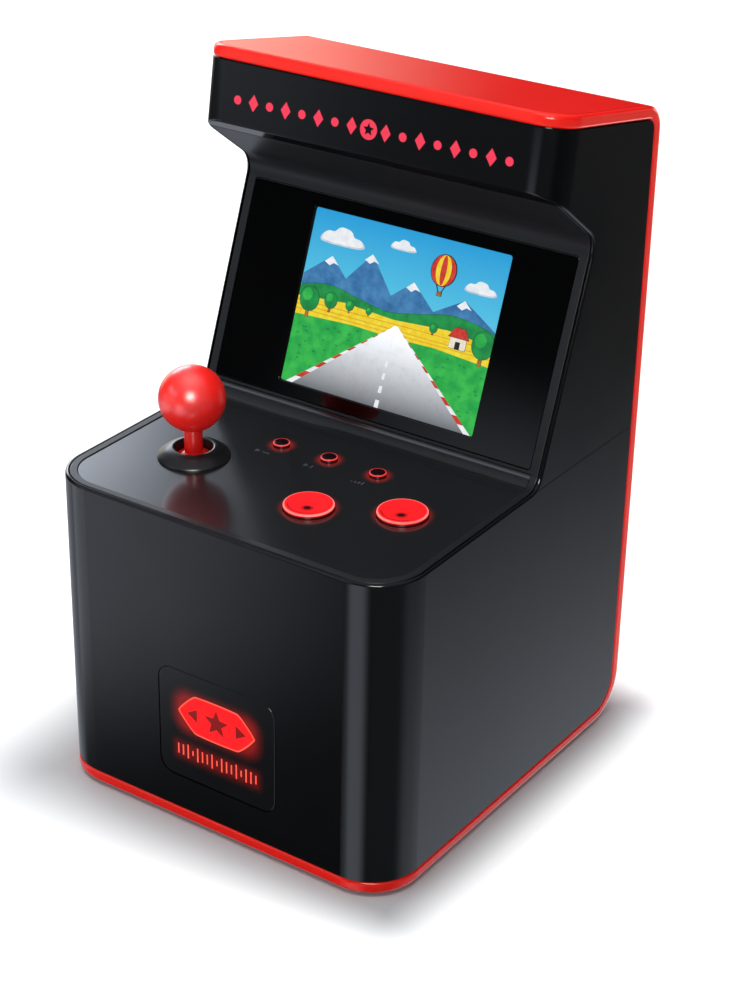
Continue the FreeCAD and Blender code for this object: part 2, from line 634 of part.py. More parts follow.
# ---- joystick --------------------------------------------------------------------------------
def joystick_parts():
    """Stick on a two-axis gimbal; the deck's own axes, moved to the stick's place."""
    parts = {}
    parts["joystick_bezel"] = revolve(BEZEL_OUTLINE)

    pivot = Vector(0, 0, STICK_PIVOT)
    skirt = Part.makeSphere(SKIRT_R, pivot).common(cylinder(SKIRT_R + 1.0, STICK_PIVOT - 1.2, 5.0))
    seat, tip = BALL_HEIGHT - 2.0, BALL_HEIGHT + 3.0
    stick = skirt.fuse([cylinder(SHAFT_R, STICK_PIVOT, seat), cylinder(TIP_R, seat, tip),
                        cylinder(1.6, -12.4, -5.5), cylinder(5.5, -10.0, -9.0),
                        rod(PIN_R, (0, -7.7, STICK_PIVOT), (0, 7.7, STICK_PIVOT))])
    parts["joystick_shaft"] = stick.removeSplitter()
    ball = Part.makeSphere(BALL_R, Vector(0, 0, BALL_HEIGHT))
    parts["joystick_ball"] = ball.cut(cylinder(SHAFT_R, 0.0, seat)).cut(cylinder(TIP_R, 0.0, tip))

    hole_r = PIN_R + PIN_CLEARANCE
    ring = cylinder(GIMBAL_OUT_R, STICK_PIVOT - GIMBAL_HALF, STICK_PIVOT + GIMBAL_HALF)
    ring = ring.cut(cylinder(GIMBAL_IN_R, -20.0, 5.0))
    ring = ring.fuse([rod(GIMBAL_EAR_R, (0, side * (GIMBAL_IN_R + 0.05), STICK_PIVOT),
                          (0, side * (GIMBAL_OUT_R - 0.1), STICK_PIVOT)) for side in (-1, 1)])
    ring = ring.cut(rod(hole_r, (0, -12.0, STICK_PIVOT), (0, 12.0, STICK_PIVOT)))
    ring = ring.fuse([rod(PIN_R, (side * (GIMBAL_OUT_R - 0.6), 0, STICK_PIVOT),
                          (side * 9.8, 0, STICK_PIVOT)) for side in (-1, 1)])
    parts["gimbal_ring"] = ring.removeSplitter()

    half = HOUSING_HALF
    housing = rounded_box((-half, half), (-half, half), (HOUSING_FLOOR, -FASCIA_WALL), 2.0, "z")
    housing = housing.cut(cylinder(HOUSING_BORE_R, -30.0, 5.0))
    housing = housing.cut(rod(hole_r, (-10.0, 0, STICK_PIVOT), (10.0, 0, STICK_PIVOT)))
    parts["joystick_housing"] = housing

    pad = cylinder(HOUSING_BORE_R - 0.2, HOUSING_FLOOR, HOUSING_FLOOR + 0.7)
    pad = pad.cut(cylinder(2.0, -30.0, 0.0))
    foot = HOUSING_FLOOR + 0.5
    domes = []
    for quarter in range(4):
        angle = math.radians(90.0 * quarter)
        place = (4.3 * math.cos(angle), 4.3 * math.sin(angle))
        domes.append(revolve([(0.0, foot), (1.9, foot), (1.3, -11.9), (0.9, -11.6), (0.0, -11.6)],
                             place))
    parts["joystick_pad"] = pad.fuse(domes).removeSplitter()
    parts["joystick_board"] = rounded_box((-11.6, 11.6), (-11.6, 11.6),
                                          (HOUSING_FLOOR - 1.2, HOUSING_FLOOR), 1.0, "z")

    spot = DECK.multiply(Placement(Vector(STICK_AT[0], STICK_AT[1], 0), Rotation()))
    return {name: placed(solid, spot) for name, solid in parts.items()}


# ---- buttons ---------------------------------------------------------------------------------
def button_cap(place, radius, top):
    """Cap with a finger dish, a flange that stops under the fascia, and a stem."""
    cap = soften_top(cylinder(radius, -3.0, top), top, 0.3)
    flange_low = -3.0 if radius > 3.0 else -2.6
    cap = cap.fuse([cylinder(radius + 0.75, flange_low, -FASCIA_WALL - 0.05),
                    cylinder(min(radius - 0.5, 2.4), STEM_END, -2.0)])
    if radius > 3.0:
        dish = 40.0
        cap = cap.cut(Part.makeSphere(dish, Vector(0, 0, top + dish - 0.22)))
    cap.translate(Vector(place[0], place[1], 0))
    return cap.removeSplitter()


def soften_top(solid, height, radius):
    edges = [e for e in solid.Edges if abs(e.BoundBox.ZMin - height) < 1e-6
             and abs(e.BoundBox.ZMax - height) < 1e-6]
    return solid.makeFillet(radius, edges)


def button_parts():
    parts = {}
    for name, place, radius, top, _ in button_list():
        parts[name] = button_cap(place, radius, top)
    membrane = rounded_box((-14.6, 33.6), (12.6, 42.2), (MEMBRANE_BASE, MEMBRANE_TOP), 1.0, "z")
    corner = box((-16.0, -12.0), (12.0, 35.2), (-10.0, 0.0))
    membrane = membrane.cut(corner)
    for _, place, radius, _, _ in button_list():
        spread = 3.4 if radius > 3.0 else 1.9
        tip = -7.25 if radius > 3.0 else -7.05
        membrane = membrane.fuse(revolve([(0.0, MEMBRANE_BASE), (spread, MEMBRANE_BASE),
                                          (spread * 0.7, tip), (0.0, tip)], place))
    lights = []
    for x, s in ACTION_BUTTONS.values():
        pocket = box((x - 1.2, x + 1.2), (s + 3.6, s + 5.0), (-10.0, 0.0))
        membrane = membrane.cut(pocket)
        lights.append(box((x - 1.0, x + 1.0), (s + 3.75, s + 4.85), (MEMBRANE_BASE, -7.3)))
    parts["button_membrane"] = membrane.removeSplitter()
    parts["button_lights"] = Part.makeCompound(lights)
    board = box((-11.4, 35.8), (7.0, 46.6), (MEMBRANE_BASE - BOARD_THICK, MEMBRANE_BASE))
    tab = box((-18.0, -11.0), (36.0, 46.6), (MEMBRANE_BASE - BOARD_THICK, MEMBRANE_BASE))
    board = board.fuse(tab).removeSplitter()
    for place in BOARD_POSTS:
        board = board.cut(cylinder(SCREW_HOLE_R, -12.0, 0.0, place))
    parts["control_board"] = board
    return {name: placed(solid, DECK) for name, solid in parts.items()}


def pan_screw(length, shank, head, head_height):
    """Screw along -h from its seat at h = 0, head above."""
    screw = soften_top(cylinder(head, 0.0, head_height), head_height, head_height * 0.45)
    screw = screw.fuse(cylinder(shank, -length, 0.1))
    for turn in (0, 90):
        slot = box((-head * 0.62, head * 0.62), (-head * 0.13, head * 0.13),
                   (head_height * 0.45, 5.0))
        slot.rotate(Vector(0, 0, 0), Vector(0, 0, 1), turn)
        screw = screw.cut(slot)
    return screw.removeSplitter()


def screw_groups():
    small = pan_screw(4.4, 0.8, 1.6, 0.9)
    turned = Rotation(Vector(1, 0, 0), 180)
    control, display, board = [], [], []
    for x, s in BOARD_POSTS:
        seat = Placement(Vector(x, s, MEMBRANE_BASE - BOARD_THICK), turned)
        control.append(placed(small, DECK.multiply(seat)))
    short = pan_screw(2.4, 0.8, 1.6, 0.9)
    for x, s in BRACKET_POSTS:
        seat = Placement(Vector(x, s, BRACKET_TOP - BRACKET_THICK), turned)
        display.append(placed(short, SLOPE.multiply(seat)))
    for x, s in board_corners():
        seat = Placement(Vector(x, s, MAIN_BOARD_TOP - BOARD_THICK), turned)
        board.append(placed(small, SLOPE.multiply(seat)))
    case = pan_screw(12.0, 1.2, 2.4, 1.4)
    out = Rotation(Vector(1, 0, 0), -90)
    rear = [placed(case, Placement(Vector(x, REAR - SCREW_SINK, above(z)), out))
            for x, z in CASE_SCREWS]
    groups = {"control_board_screws": control, "display_screws": display,
              "main_board_screws": board, "case_screws": rear}
    return {name: Part.makeCompound(group) for name, group in groups.items()}


# ---- electronics -----------------------------------------------------------------------------
def main_board():
    low, high = MAIN_BOARD_S
    base = MAIN_BOARD_TOP - BOARD_THICK
    board = box((-MAIN_BOARD_HALF, MAIN_BOARD_HALF), (low, high), (base, MAIN_BOARD_TOP))
    for place in board_corners():
        board = board.cut(cylinder(SCREW_HOLE_R, -20.0, 0.0, place))
    chips = [box((-7.0, 7.0), (16.0, 30.0), (base - 1.3, base)),
             box((12.0, 20.0), (18.0, 24.0), (base - 1.0, base)),
             box((-20.0, -14.0), (20.0, 27.0), (base - 0.9, base)),
             box((-4.0, 4.0), (34.0, 37.4), (base - 2.2, base))]
    chips += [cylinder(2.4, base - 5.0, base, place) for place in ((14.0, 34.0), (21.0, 34.0))]
    chips += [box((x - 3.0, x + 3.0), (s, s + 3.6), (base - 3.0, base))
              for x, s in ((20.0, BATTERY_PLUG_S), (-20.0, SPEAKER_PLUG_S))]
    parts = {"main_board": board, "main_board_chips": Part.makeCompound(chips)}
    return {name: placed(solid, SLOPE) for name, solid in parts.items()}


def badge_parts():
    board = box((BADGE_X[0] - 1.2, BADGE_X[1] + 1.2),
                (behind(BADGE_BOARD_AT), behind(BADGE_BOARD_AT + BADGE_BOARD_THICK)),
                (above(BADGE_Z[0] - 0.5), above(BADGE_Z[1] + 0.5)))
    middle = (BADGE_X[0] + BADGE_X[1]) / 2
    low, high = BADGE_LIGHT_Z
    deep = (behind(BADGE_BOARD_AT - 0.8), behind(BADGE_BOARD_AT))
    lights = []
    for i in (-1, 0, 1):
        x = middle + i * BADGE_LIGHT_PITCH
        lights.append(box((x - 1.0, x + 1.0), deep, (above(low), above(high))))
    plate = badge_plate(BADGE_GAP, BADGE_THICK)
    edges = [e for e in plate.Edges if e.BoundBox.YMax < FRONT + BADGE_SINK + 1e-6]
    return {"badge_plate": plate.makeFillet(BADGE_EDGE_ROUND, edges), "badge_light_board": board,
            "badge_lights": Part.makeCompound(lights)}


def socket_parts():
    """Small board behind the back wall with the switch, power inlet and headphone socket."""
    top = above(SOCKET_BOARD_TOP)
    inner = behind(DEPTH - BACK_WALL)
    board = box((-29.0, 29.0), (behind(75.5), inner - 0.2), (top - BOARD_THICK, top))
    for x in SOCKET_POSTS:
        board = board.cut(cylinder(0.9, top - 5.0, top + 5.0, (x, inner - SOCKET_POST_IN)))
    width, tall = USB_SIZE
    usb = rounded_box((USB_X - width / 2, USB_X + width / 2), (inner - 3.4, REAR - 0.8),
                      (top, top + tall), 0.7, "y")
    mouth = rounded_box((USB_X - width / 2 + 0.3, USB_X + width / 2 - 0.3), (inner - 2.4, REAR),
                        (top + 0.3, top + tall - 0.3), 0.5, "y")
    tongue = box((USB_X - 2.6, USB_X + 2.6), (inner - 2.6, REAR - 1.6), (top + 1.5, top + 2.0))
    usb = usb.cut(mouth).fuse(tongue).removeSplitter()
    jack = box((JACK_X - 3.4, JACK_X + 3.4), (REAR - JACK_BORE_LENGTH - 1.5, inner - 0.1),
               (top, top + 5.2))
    jack = jack.fuse(rod(2.5, (JACK_X, inner - 1.0, above(JACK_Z)), (JACK_X, REAR, above(JACK_Z))))
    jack = jack.cut(rod(JACK_BORE_R, (JACK_X, REAR - JACK_BORE_LENGTH, above(JACK_Z)),
                        (JACK_X, REAR + 5.0, above(JACK_Z)))).removeSplitter()
    body = box((-5.0, 5.0), (behind(82.5), behind(87.2)), (top, top + 5.4))
    knob_w, knob_h = SLIDER_KNOB
    rest_x = -SLIDER_TRAVEL / 2
    knob = rounded_box((rest_x - knob_w / 2, rest_x + knob_w / 2), (behind(88.0), REAR - 0.15),
                       (above(SWITCH_Z) - knob_h / 2, above(SWITCH_Z) + knob_h / 2), 0.4, "y")
    for i in (-1, 0, 1):
        x = rest_x + i * 0.9
        knob = knob.cut(box((x - 0.2, x + 0.2), (REAR - 0.45, REAR), (0.0, CROWN[1])))
    plate = box((rest_x - 3.1, rest_x + 3.1), (behind(87.4), behind(88.6)),
                (above(SWITCH_Z) - 2.2, above(SWITCH_Z) + 2.2))
    return {"socket_board": board, "usb_socket": usb, "headphone_jack": jack,
            "power_switch_body": body, "power_slider": knob.fuse(plate).removeSplitter()}


def speaker():
    """Round speaker against the inside of the back wall, cone towards the grille."""
    front = SPEAKER_GAP + SPEAKER_DEPTH
    solid = revolve([(0.0, 0.0), (7.0, 0.0), (7.0, 2.6), (SPEAKER_R, 3.4), (SPEAKER_R, front),
                     (SPEAKER_R - 1.5, front), (SPEAKER_R - 1.8, front - 0.6), (4.0, 4.6),
                     (0.0, 5.6)])
    solid.rotate(Vector(0, 0, 0), Vector(1, 0, 0), -90)
    solid.translate(Vector(0, behind(DEPTH - BACK_WALL) - front, above(SPEAKER_Z)))
    return {"speaker": solid}


# ---- batteries -------------------------------------------------------------------------------
def cell_places():
    return [(i - 1.5) * CELL_PITCH for i in range(4)]


def battery_parts():
    inner = behind(DEPTH - BACK_WALL)
    low, high = BAY_Z
    tray = box((-BAY_HALF - BAY_WALL, BAY_HALF + BAY_WALL), (behind(TRAY_FACE), inner),
               (above(low - BAY_WALL), above(high + BAY_WALL)))
    bay = box((-BAY_HALF, BAY_HALF), (behind(CELL_AT - CELL_R - 0.3), REAR),
              (above(low), above(high)))
    parts = {"battery_tray": tray.cut(bay)}
    plates = []
    for i, x in enumerate(cell_places()):
        way_up = i % 2 == 0
        cell = cylinder(CELL_R, 0.0, CELL_LENGTH - 1.2)
        cell = soften_top(cell, CELL_LENGTH - 1.2, 0.6)
        cell = cell.fuse(cylinder(2.7, CELL_LENGTH - 1.4, CELL_LENGTH))
        if not way_up:
            cell.rotate(Vector(0, 0, CELL_LENGTH / 2), Vector(0, 1, 0), 180)
        cell.translate(Vector(x, behind(CELL_AT), above(CELL_Z)))
        parts["battery_cell_%d" % (i + 1)] = cell.removeSplitter()
        for z in (low, high - CONTACT_THICK):
            plates.append(box((x - 5.0, x + 5.0), (behind(CELL_AT - 5.0), behind(CELL_AT + 5.0)),
                              (above(z), above(z + CONTACT_THICK))))
    parts["battery_contacts"] = Part.makeCompound(plates)
    parts["battery_door"] = battery_door()
    return parts


def door_axis():
    """The door's hinge line as (y, z)."""
    return REAR - DOOR_THICK / 2, above(DOOR_Z[0]) + DOOR_THICK / 2


def battery_door():
    half = DOOR_THICK / 2
    y, z = door_axis()
    door = box((-DOOR_HALF, DOOR_HALF), (y - half, y + half), (z, above(DOOR_Z[1])))
    door = door.fuse(rod(half, (-DOOR_HALF, y, z), (DOOR_HALF, y, z)))
    door = door.fuse([rod(DOOR_PIN_R, (side * (DOOR_HALF - 0.5), y, z),
                          (side * (DOOR_HALF + 1.0), y, z)) for side in (-1, 1)])
    for i in range(5):
        height = above(DOOR_Z[1] - 4.0 - 1.6 * i)
        half_w = 7.0 - 1.2 * i
        door = door.cut(rounded_box((-half_w, half_w), (REAR - 0.5, REAR + 1.0),
                                    (height - 0.4, height + 0.4), 0.35, "y"))
    return door.removeSplitter()


# ---- leads inside the case -------------------------------------------------------------------
def route(points, radius):
    """Straight runs through points, joined by tangent arcs."""
    points = [Vector(*p) for p in points]
    edges, start = [], points[0]
    for i in range(1, len(points) - 1):
        here = points[i]
        back = points[i - 1].sub(here).normalize()
        on = points[i + 1].sub(here).normalize()
        half = back.getAngle(on) / 2
        reach = radius / math.tan(half)
        middle = here + back.add(on).normalize() * (radius / math.sin(half) - radius)
        edges.append(Part.makeLine(start, here + back * reach))
        edges.append(Part.Arc(here + back * reach, middle, here + on * reach).toShape())
        start = here + on * reach
    edges.append(Part.makeLine(start, points[-1]))
    return Part.Wire(edges)


def ribbon(path, half_width, half_thick):
    """Flat cable along a path in a side plane."""
    start = path.Vertexes[0].Point
    ahead = path.Edges[0].tangentAt(path.Edges[0].FirstParameter)
    side = Vector(0, -ahead.z, ahead.y)
    corners = [start + Vector(x * half_width, 0, 0) + side * (t * half_thick)
               for x, t in ((-1, -1), (1, -1), (1, 1), (-1, 1))]
    profile = Part.makePolygon(corners + corners[:1])
    return path.makePipeShell([profile], True, False)


def lead(path, radius):
    start = path.Vertexes[0].Point
    ahead = path.Edges[0].tangentAt(path.Edges[0].FirstParameter)
    circle = Part.Wire(Part.makeCircle(radius, start, ahead))
    return path.makePipeShell([circle], True, False)


def on(frame, x, s, h):
    return tuple(frame.multVec(Vector(x, s, h)))


def lead_parts():
    """Flat cable from the control board, and the battery's and the speaker's pairs of wires."""
    board_mid = MAIN_BOARD_TOP - BOARD_THICK / 2
    control_mid = MEMBRANE_BASE - BOARD_THICK / 2
    path = [on(DECK, 8.0, 46.6, control_mid), on(DECK, 8.0, 55.0, control_mid),
            on(SLOPE, 8.0, MAIN_BOARD_S[0] - 4.0, board_mid),
            on(SLOPE, 8.0, MAIN_BOARD_S[0], board_mid)]
    parts = {"control_ribbon": ribbon(route(path, 2.5), 7.0, 0.15)}
    back = MAIN_BOARD_TOP - BOARD_THICK
    tray_face, tag_z = behind(TRAY_FACE), above(62.0)
    for name, x in (("battery_lead_red", 18.8), ("battery_lead_black", 21.2)):
        path = [(x, tray_face, tag_z), (x, tray_face - 4.0, tag_z),
                on(SLOPE, x, BATTERY_PLUG_S - 3.0, back - 1.5),
                on(SLOPE, x, BATTERY_PLUG_S, back - 1.5)]
        parts[name] = lead(route(path, 1.6), WIRE_R)
    tag_y = behind(DEPTH - BACK_WALL) - SPEAKER_GAP - SPEAKER_DEPTH + 2.78
    for name, x, side in (("speaker_lead_red", -21.2, 1), ("speaker_lead_black", -18.8, -1)):
        tag_z = above(SPEAKER_Z + side * 4.0)
        path = [(-8.0, tag_y, tag_z), (-8.0, tag_y - 2.2, tag_z),
                on(SLOPE, x, SPEAKER_PLUG_S + 1.8, back - 5.4),
                on(SLOPE, x, SPEAKER_PLUG_S + 1.8, back - 3.0)]
        parts[name] = lead(route(path, 1.1), WIRE_R)
    return parts


def rubber_feet():
    parts = {}
    for i, (x, distance) in enumerate(FEET):
        foot = cylinder(FOOT_R, 0.0, above(0.8), (x, behind(distance)))
        edges = [e for e in foot.Edges if e.BoundBox.ZMax < 1e-6]
        parts["rubber_foot_%d" % (i + 1)] = foot.makeFillet(0.3, edges)
    return parts


def build():
    parts = covers()
    parts["fascia"] = fascia()
    parts["control_panel"] = control_panel()
    for group in (screen_parts, joystick_parts, button_parts, screw_groups, main_board, badge_parts,
                  socket_parts, speaker, battery_parts, lead_parts, rubber_feet):
        parts.update(group())
    return parts


os.makedirs("parts", exist_ok=True)
for node, shape in build().items():
    if not shape.isValid():
        print("invalid:", node)
    shape.exportStep("parts/%s.step" % node)
    print("%-24s %2d solid(s) %9.1f mm3" % (node, len(shape.Solids), shape.Volume))
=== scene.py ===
"""Looks of the bartop mini arcade cabinet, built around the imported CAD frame.

Metres, in the CAD's own frame: +X is the player's right, +Y goes from the front to the back and
+Z is up. Outlines and heights of details are in mm on a face of a node.
"""
import json
import math
import random

import bmesh
import bpy
from mathutils import Matrix, Vector
from mathutils.geometry import tessellate_polygon


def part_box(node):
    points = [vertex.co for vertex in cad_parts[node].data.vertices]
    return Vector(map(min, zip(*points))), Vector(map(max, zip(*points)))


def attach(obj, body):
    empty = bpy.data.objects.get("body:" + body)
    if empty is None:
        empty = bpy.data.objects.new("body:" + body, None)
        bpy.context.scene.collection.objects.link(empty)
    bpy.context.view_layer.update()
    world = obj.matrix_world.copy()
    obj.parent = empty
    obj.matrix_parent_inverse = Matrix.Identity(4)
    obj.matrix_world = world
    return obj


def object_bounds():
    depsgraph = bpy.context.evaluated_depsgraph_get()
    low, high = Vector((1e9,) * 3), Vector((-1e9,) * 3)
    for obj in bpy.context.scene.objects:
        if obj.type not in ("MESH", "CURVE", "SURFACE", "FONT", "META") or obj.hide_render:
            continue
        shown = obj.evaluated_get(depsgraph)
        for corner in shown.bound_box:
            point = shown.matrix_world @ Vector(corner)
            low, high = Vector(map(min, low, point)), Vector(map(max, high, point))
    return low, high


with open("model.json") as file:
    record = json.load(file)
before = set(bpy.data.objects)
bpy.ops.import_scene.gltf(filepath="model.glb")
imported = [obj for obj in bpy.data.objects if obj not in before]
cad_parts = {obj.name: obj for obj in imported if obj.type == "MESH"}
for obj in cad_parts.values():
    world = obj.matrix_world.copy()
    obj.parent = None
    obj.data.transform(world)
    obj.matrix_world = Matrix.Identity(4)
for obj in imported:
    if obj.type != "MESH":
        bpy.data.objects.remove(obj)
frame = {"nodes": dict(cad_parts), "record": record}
cad_low, cad_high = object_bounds()
MM = 0.001

# Shared by the lamps and the camera.
TOWARD_CAMERA = Vector((0.50292, -0.73560, 0.45383)).normalized()

# How far printed and lit details reach into their face and stand out of it, in mm.
PRINT_LOW, PRINT_HIGH = -0.03, 0.012
RIM_HIGH, MARK_HIGH = 0.014, 0.008


# ---- where things are ------------------------------------------------------------------------
def flat_face(node, facing):
    """Frame on a node's largest flat face that looks along facing, and that face's size in mm.

    The frame's x is the player's right, y goes up the face, z comes out of it, and its origin
    is in the middle of the face.
    """
    facing = Vector(facing).normalized()
    areas = {}
    mesh = frame["nodes"][node].data
    for polygon in mesh.polygons:
        if polygon.normal.dot(facing) > 0.99:
            key = tuple(round(c, 2) for c in polygon.normal)
            total, weighted = areas.get(key, (0.0, Vector()))
            areas[key] = (total + polygon.area, weighted + polygon.normal * polygon.area)
    normal = max(areas.values(), key=lambda entry: entry[0])[1].normalized()
    right = Vector((1, 0, 0))
    up = normal.cross(right).normalized()
    points = []
    for polygon in mesh.polygons:
        if polygon.normal.dot(normal) > 0.9999:
            points += [mesh.vertices[i].co for i in polygon.vertices]
    out = max(p.dot(normal) for p in points)
    points = [p for p in points if p.dot(normal) > out - 0.02 * MM]
    spans = [(min(p.dot(a) for p in points), max(p.dot(a) for p in points)) for a in (right, up)]
    middle = right * sum(spans[0]) / 2 + up * sum(spans[1]) / 2 + normal * out
    place = Matrix.Translation(middle) @ Matrix((right, up, normal)).transposed().to_4x4()
    return place, [(high - low) / MM for low, high in spans]


def centre(node):
    low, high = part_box(node)
    return (low + high) / 2


# ---- flat outlines, in mm ----------------------------------------------------------------------
def rect(x0, y0, x1, y1):
    return [(x0, y0), (x1, y0), (x1, y1), (x0, y1)]


def oval(x, y, rx, ry=None, count=40, turn=0.0):
    ry = rx if ry is None else ry
    c, s = math.cos(math.radians(turn)), math.sin(math.radians(turn))
    points = []
    for i in range(count):
        a = 2 * math.pi * i / count
        px, py = rx * math.cos(a), ry * math.sin(a)
        points.append((x + px * c - py * s, y + px * s + py * c))
    return points


def star(x, y, outer, inner, tips=5):
    points = []
    for i in range(2 * tips):
        r = inner if i % 2 else outer
        a = math.pi / 2 + math.pi * i / tips
        points.append((x + r * math.cos(a), y + r * math.sin(a)))
    return points


def smooth_loop(points, steps=5):
    """Closed smooth curve through points."""
    count, curve = len(points), []
    for i in range(count):
        p0, p1, p2, p3 = (points[(i + k - 1) % count] for k in range(4))
        for j in range(steps):
            t = j / steps
            curve.append(tuple(
                0.5 * (2 * b + (c - a) * t + (2 * a - 5 * b + 4 * c - d) * t * t
                       + (3 * b - a - 3 * c + d) * t ** 3)
                for a, b, c, d in zip(p0, p1, p2, p3)))
    return curve


def grown(points, distance):
    """The outline moved outwards by distance."""
    count = len(points)
    area = sum(points[i - 1][0] * points[i][1] - points[i][0] * points[i - 1][1]
               for i in range(count))
    side = 1 if area > 0 else -1
    moved = []
    for i, (x, y) in enumerate(points):
        ax, ay = points[i - 1]
        bx, by = points[(i + 1) % count]
        dx, dy = bx - ax, by - ay
        length = math.hypot(dx, dy) or 1.0
        moved.append((x + side * dy / length * distance, y - side * dx / length * distance))
    return moved


# ---- making pieces -----------------------------------------------------------------------------
def add_piece(name, mesh, body, material, smooth=False):
    mesh.materials.append(material)
    for polygon in mesh.polygons:
        polygon.use_smooth = smooth
    piece = bpy.data.objects.new(name, mesh)
    bpy.context.scene.collection.objects.link(piece)
    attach(piece, body)
    return piece


def closed_mesh(name, verts, faces):
    """Mesh with all its normals turned outwards."""
    mesh = bpy.data.meshes.new(name)
    mesh.from_pydata(verts, [], faces)
    work = bmesh.new()
    work.from_mesh(mesh)
    bmesh.ops.recalc_face_normals(work, faces=work.faces)
    work.to_mesh(mesh)
    work.free()
    return mesh


def slab(name, shapes, place, low, high, body, material):
    """Closed thin solids from flat outlines; each shape is an outer loop and its holes."""
    verts, faces = [], []
    for loops in shapes:
        flat = [p for loop in loops for p in loop]
        start, count = len(verts), len(flat)
        for h in (low, high):
            verts += [place @ Vector((x * MM, y * MM, h * MM)) for x, y in flat]
        for a, b, c in tessellate_polygon([[Vector((x, y, 0)) for x, y in loop] for loop in loops]):
            faces.append((start + a, start + b, start + c))
            faces.append((start + count + c, start + count + b, start + count + a))
        first = start
        for loop in loops:
            size = len(loop)
            for i in range(size):
                j = (i + 1) % size
                faces.append((first + i, first + j, first + j + count, first + i + count))
            first += size
    return add_piece(name, closed_mesh(name, verts, faces), body, material)


def turned(name, profile, place, body, material, count=96):
    """Closed ring or knob turned about the frame's z, from a loop of (radius, height) in mm."""
    verts, faces = [], []
    size = len(profile)
    for i in range(count):
        a = 2 * math.pi * i / count
        verts += [place @ Vector((r * math.cos(a) * MM, r * math.sin(a) * MM, h * MM))
                  for r, h in profile]
        for j in range(size):
            k, n = (j + 1) % size, (i + 1) % count
            faces.append((i * size + j, n * size + j, n * size + k, i * size + k))
    return add_piece(name, closed_mesh(name, verts, faces), body, material, smooth=True)


# ---- materials ----------------------------------------------------------------------------------
def linear(r, g, b):
    """Colour from 0-255 display values."""
    return tuple((c / 255) ** 2.2 for c in (r, g, b)) + (1.0,)


class Tree:
    """A node tree, with short calls for the nodes that it is made of."""

    def __init__(self, tree):
        self.nodes, self.links = tree.nodes, tree.links

    def add(self, kind, inputs=None, **settings):
        node = self.nodes.new(kind)
        for key, value in settings.items():
            setattr(node, key, value)
        for key, value in (inputs or {}).items():
            self.plug(node.inputs[key], value)
        return node

    def plug(self, socket, value):
        if isinstance(value, bpy.types.NodeSocket):
            self.links.new(value, socket)
        else:
            socket.default_value = value

    def span(self, value, low, high, from_low=0.3, from_high=0.7, kind="LINEAR"):
        return self.add("ShaderNodeMapRange", {
            "Value": value, "From Min": from_low, "From Max": from_high,
            "To Min": low, "To Max": high}, interpolation_type=kind).outputs[0]

    def math(self, operation, a, b=0.0):
        return self.add("ShaderNodeMath", {0: a, 1: b}, operation=operation).outputs[0]

    def mix(self, factor, a, b):
        return self.add("ShaderNodeMix", {0: factor, 6: a, 7: b}, data_type="RGBA").outputs[2]


class Shade(Tree):
    """One material."""

    def __init__(self, name, **values):
        self.material = bpy.data.materials.new(name)
        self.material.use_nodes = True
        super().__init__(self.material.node_tree)
        self.bsdf = self.nodes["Principled BSDF"]
        self.place = self.add("ShaderNodeTexCoord").outputs["Object"]
        self.set(**values)

    def set(self, **values):
        """Shader inputs by name, with _ for a space."""
        for key, value in values.items():
            self.plug(self.bsdf.inputs[key.replace("_", " ")], value)
        return self

    def stretched(self, x, y, z):
        return self.add("ShaderNodeMapping", {"Vector": self.place, "Scale": (x, y, z)}).outputs[0]

    def noise(self, scale, detail=3.0, roughness=0.55, vector=None):
        return self.add("ShaderNodeTexNoise", {
            "Vector": vector or self.place, "Scale": scale, "Detail": detail,
            "Roughness": roughness}).outputs["Fac"]

    def ramp(self, value, *stops):
        node = self.add("ShaderNodeValToRGB", {"Fac": value})
        elements = node.color_ramp.elements
        while len(elements) < len(stops):
            elements.new(0.5)
        for element, (at, colour) in zip(elements, stops):
            element.position = at
            element.color = colour
        return node.outputs["Color"]

    def bump(self, height, distance, strength=1.0, normal=None):
        inputs = {"Height": height, "Distance": distance, "Strength": strength}
        if normal:
            inputs["Normal"] = normal
        return self.add("ShaderNodeBump", inputs).outputs[0]

    def away(self, point, half=(0.0, 0.0, 0.0), axes=(1.0, 1.0, 0.0)):
        """Distance in mm from a box about a point, measured along some of the axes only."""
        moved = self.add("ShaderNodeVectorMath", {0: self.place, 1: point}, operation="SUBTRACT")
        size = self.add("ShaderNodeVectorMath", {0: moved.outputs[0]}, operation="ABSOLUTE")
        past = self.add("ShaderNodeVectorMath", {0: size.outputs[0], 1: half}, operation="SUBTRACT")
        out = self.add("ShaderNodeVectorMath", {0: past.outputs[0], 1: (0.0, 0.0, 0.0)},
                       operation="MAXIMUM")
        kept = self.add("ShaderNodeVectorMath", {0: out.outputs[0], 1: axes}, operation="MULTIPLY")
        length = self.add("ShaderNodeVectorMath", {0: kept.outputs[0]}, operation="LENGTH")
        return self.math("MULTIPLY", length.outputs["Value"], 1 / MM)


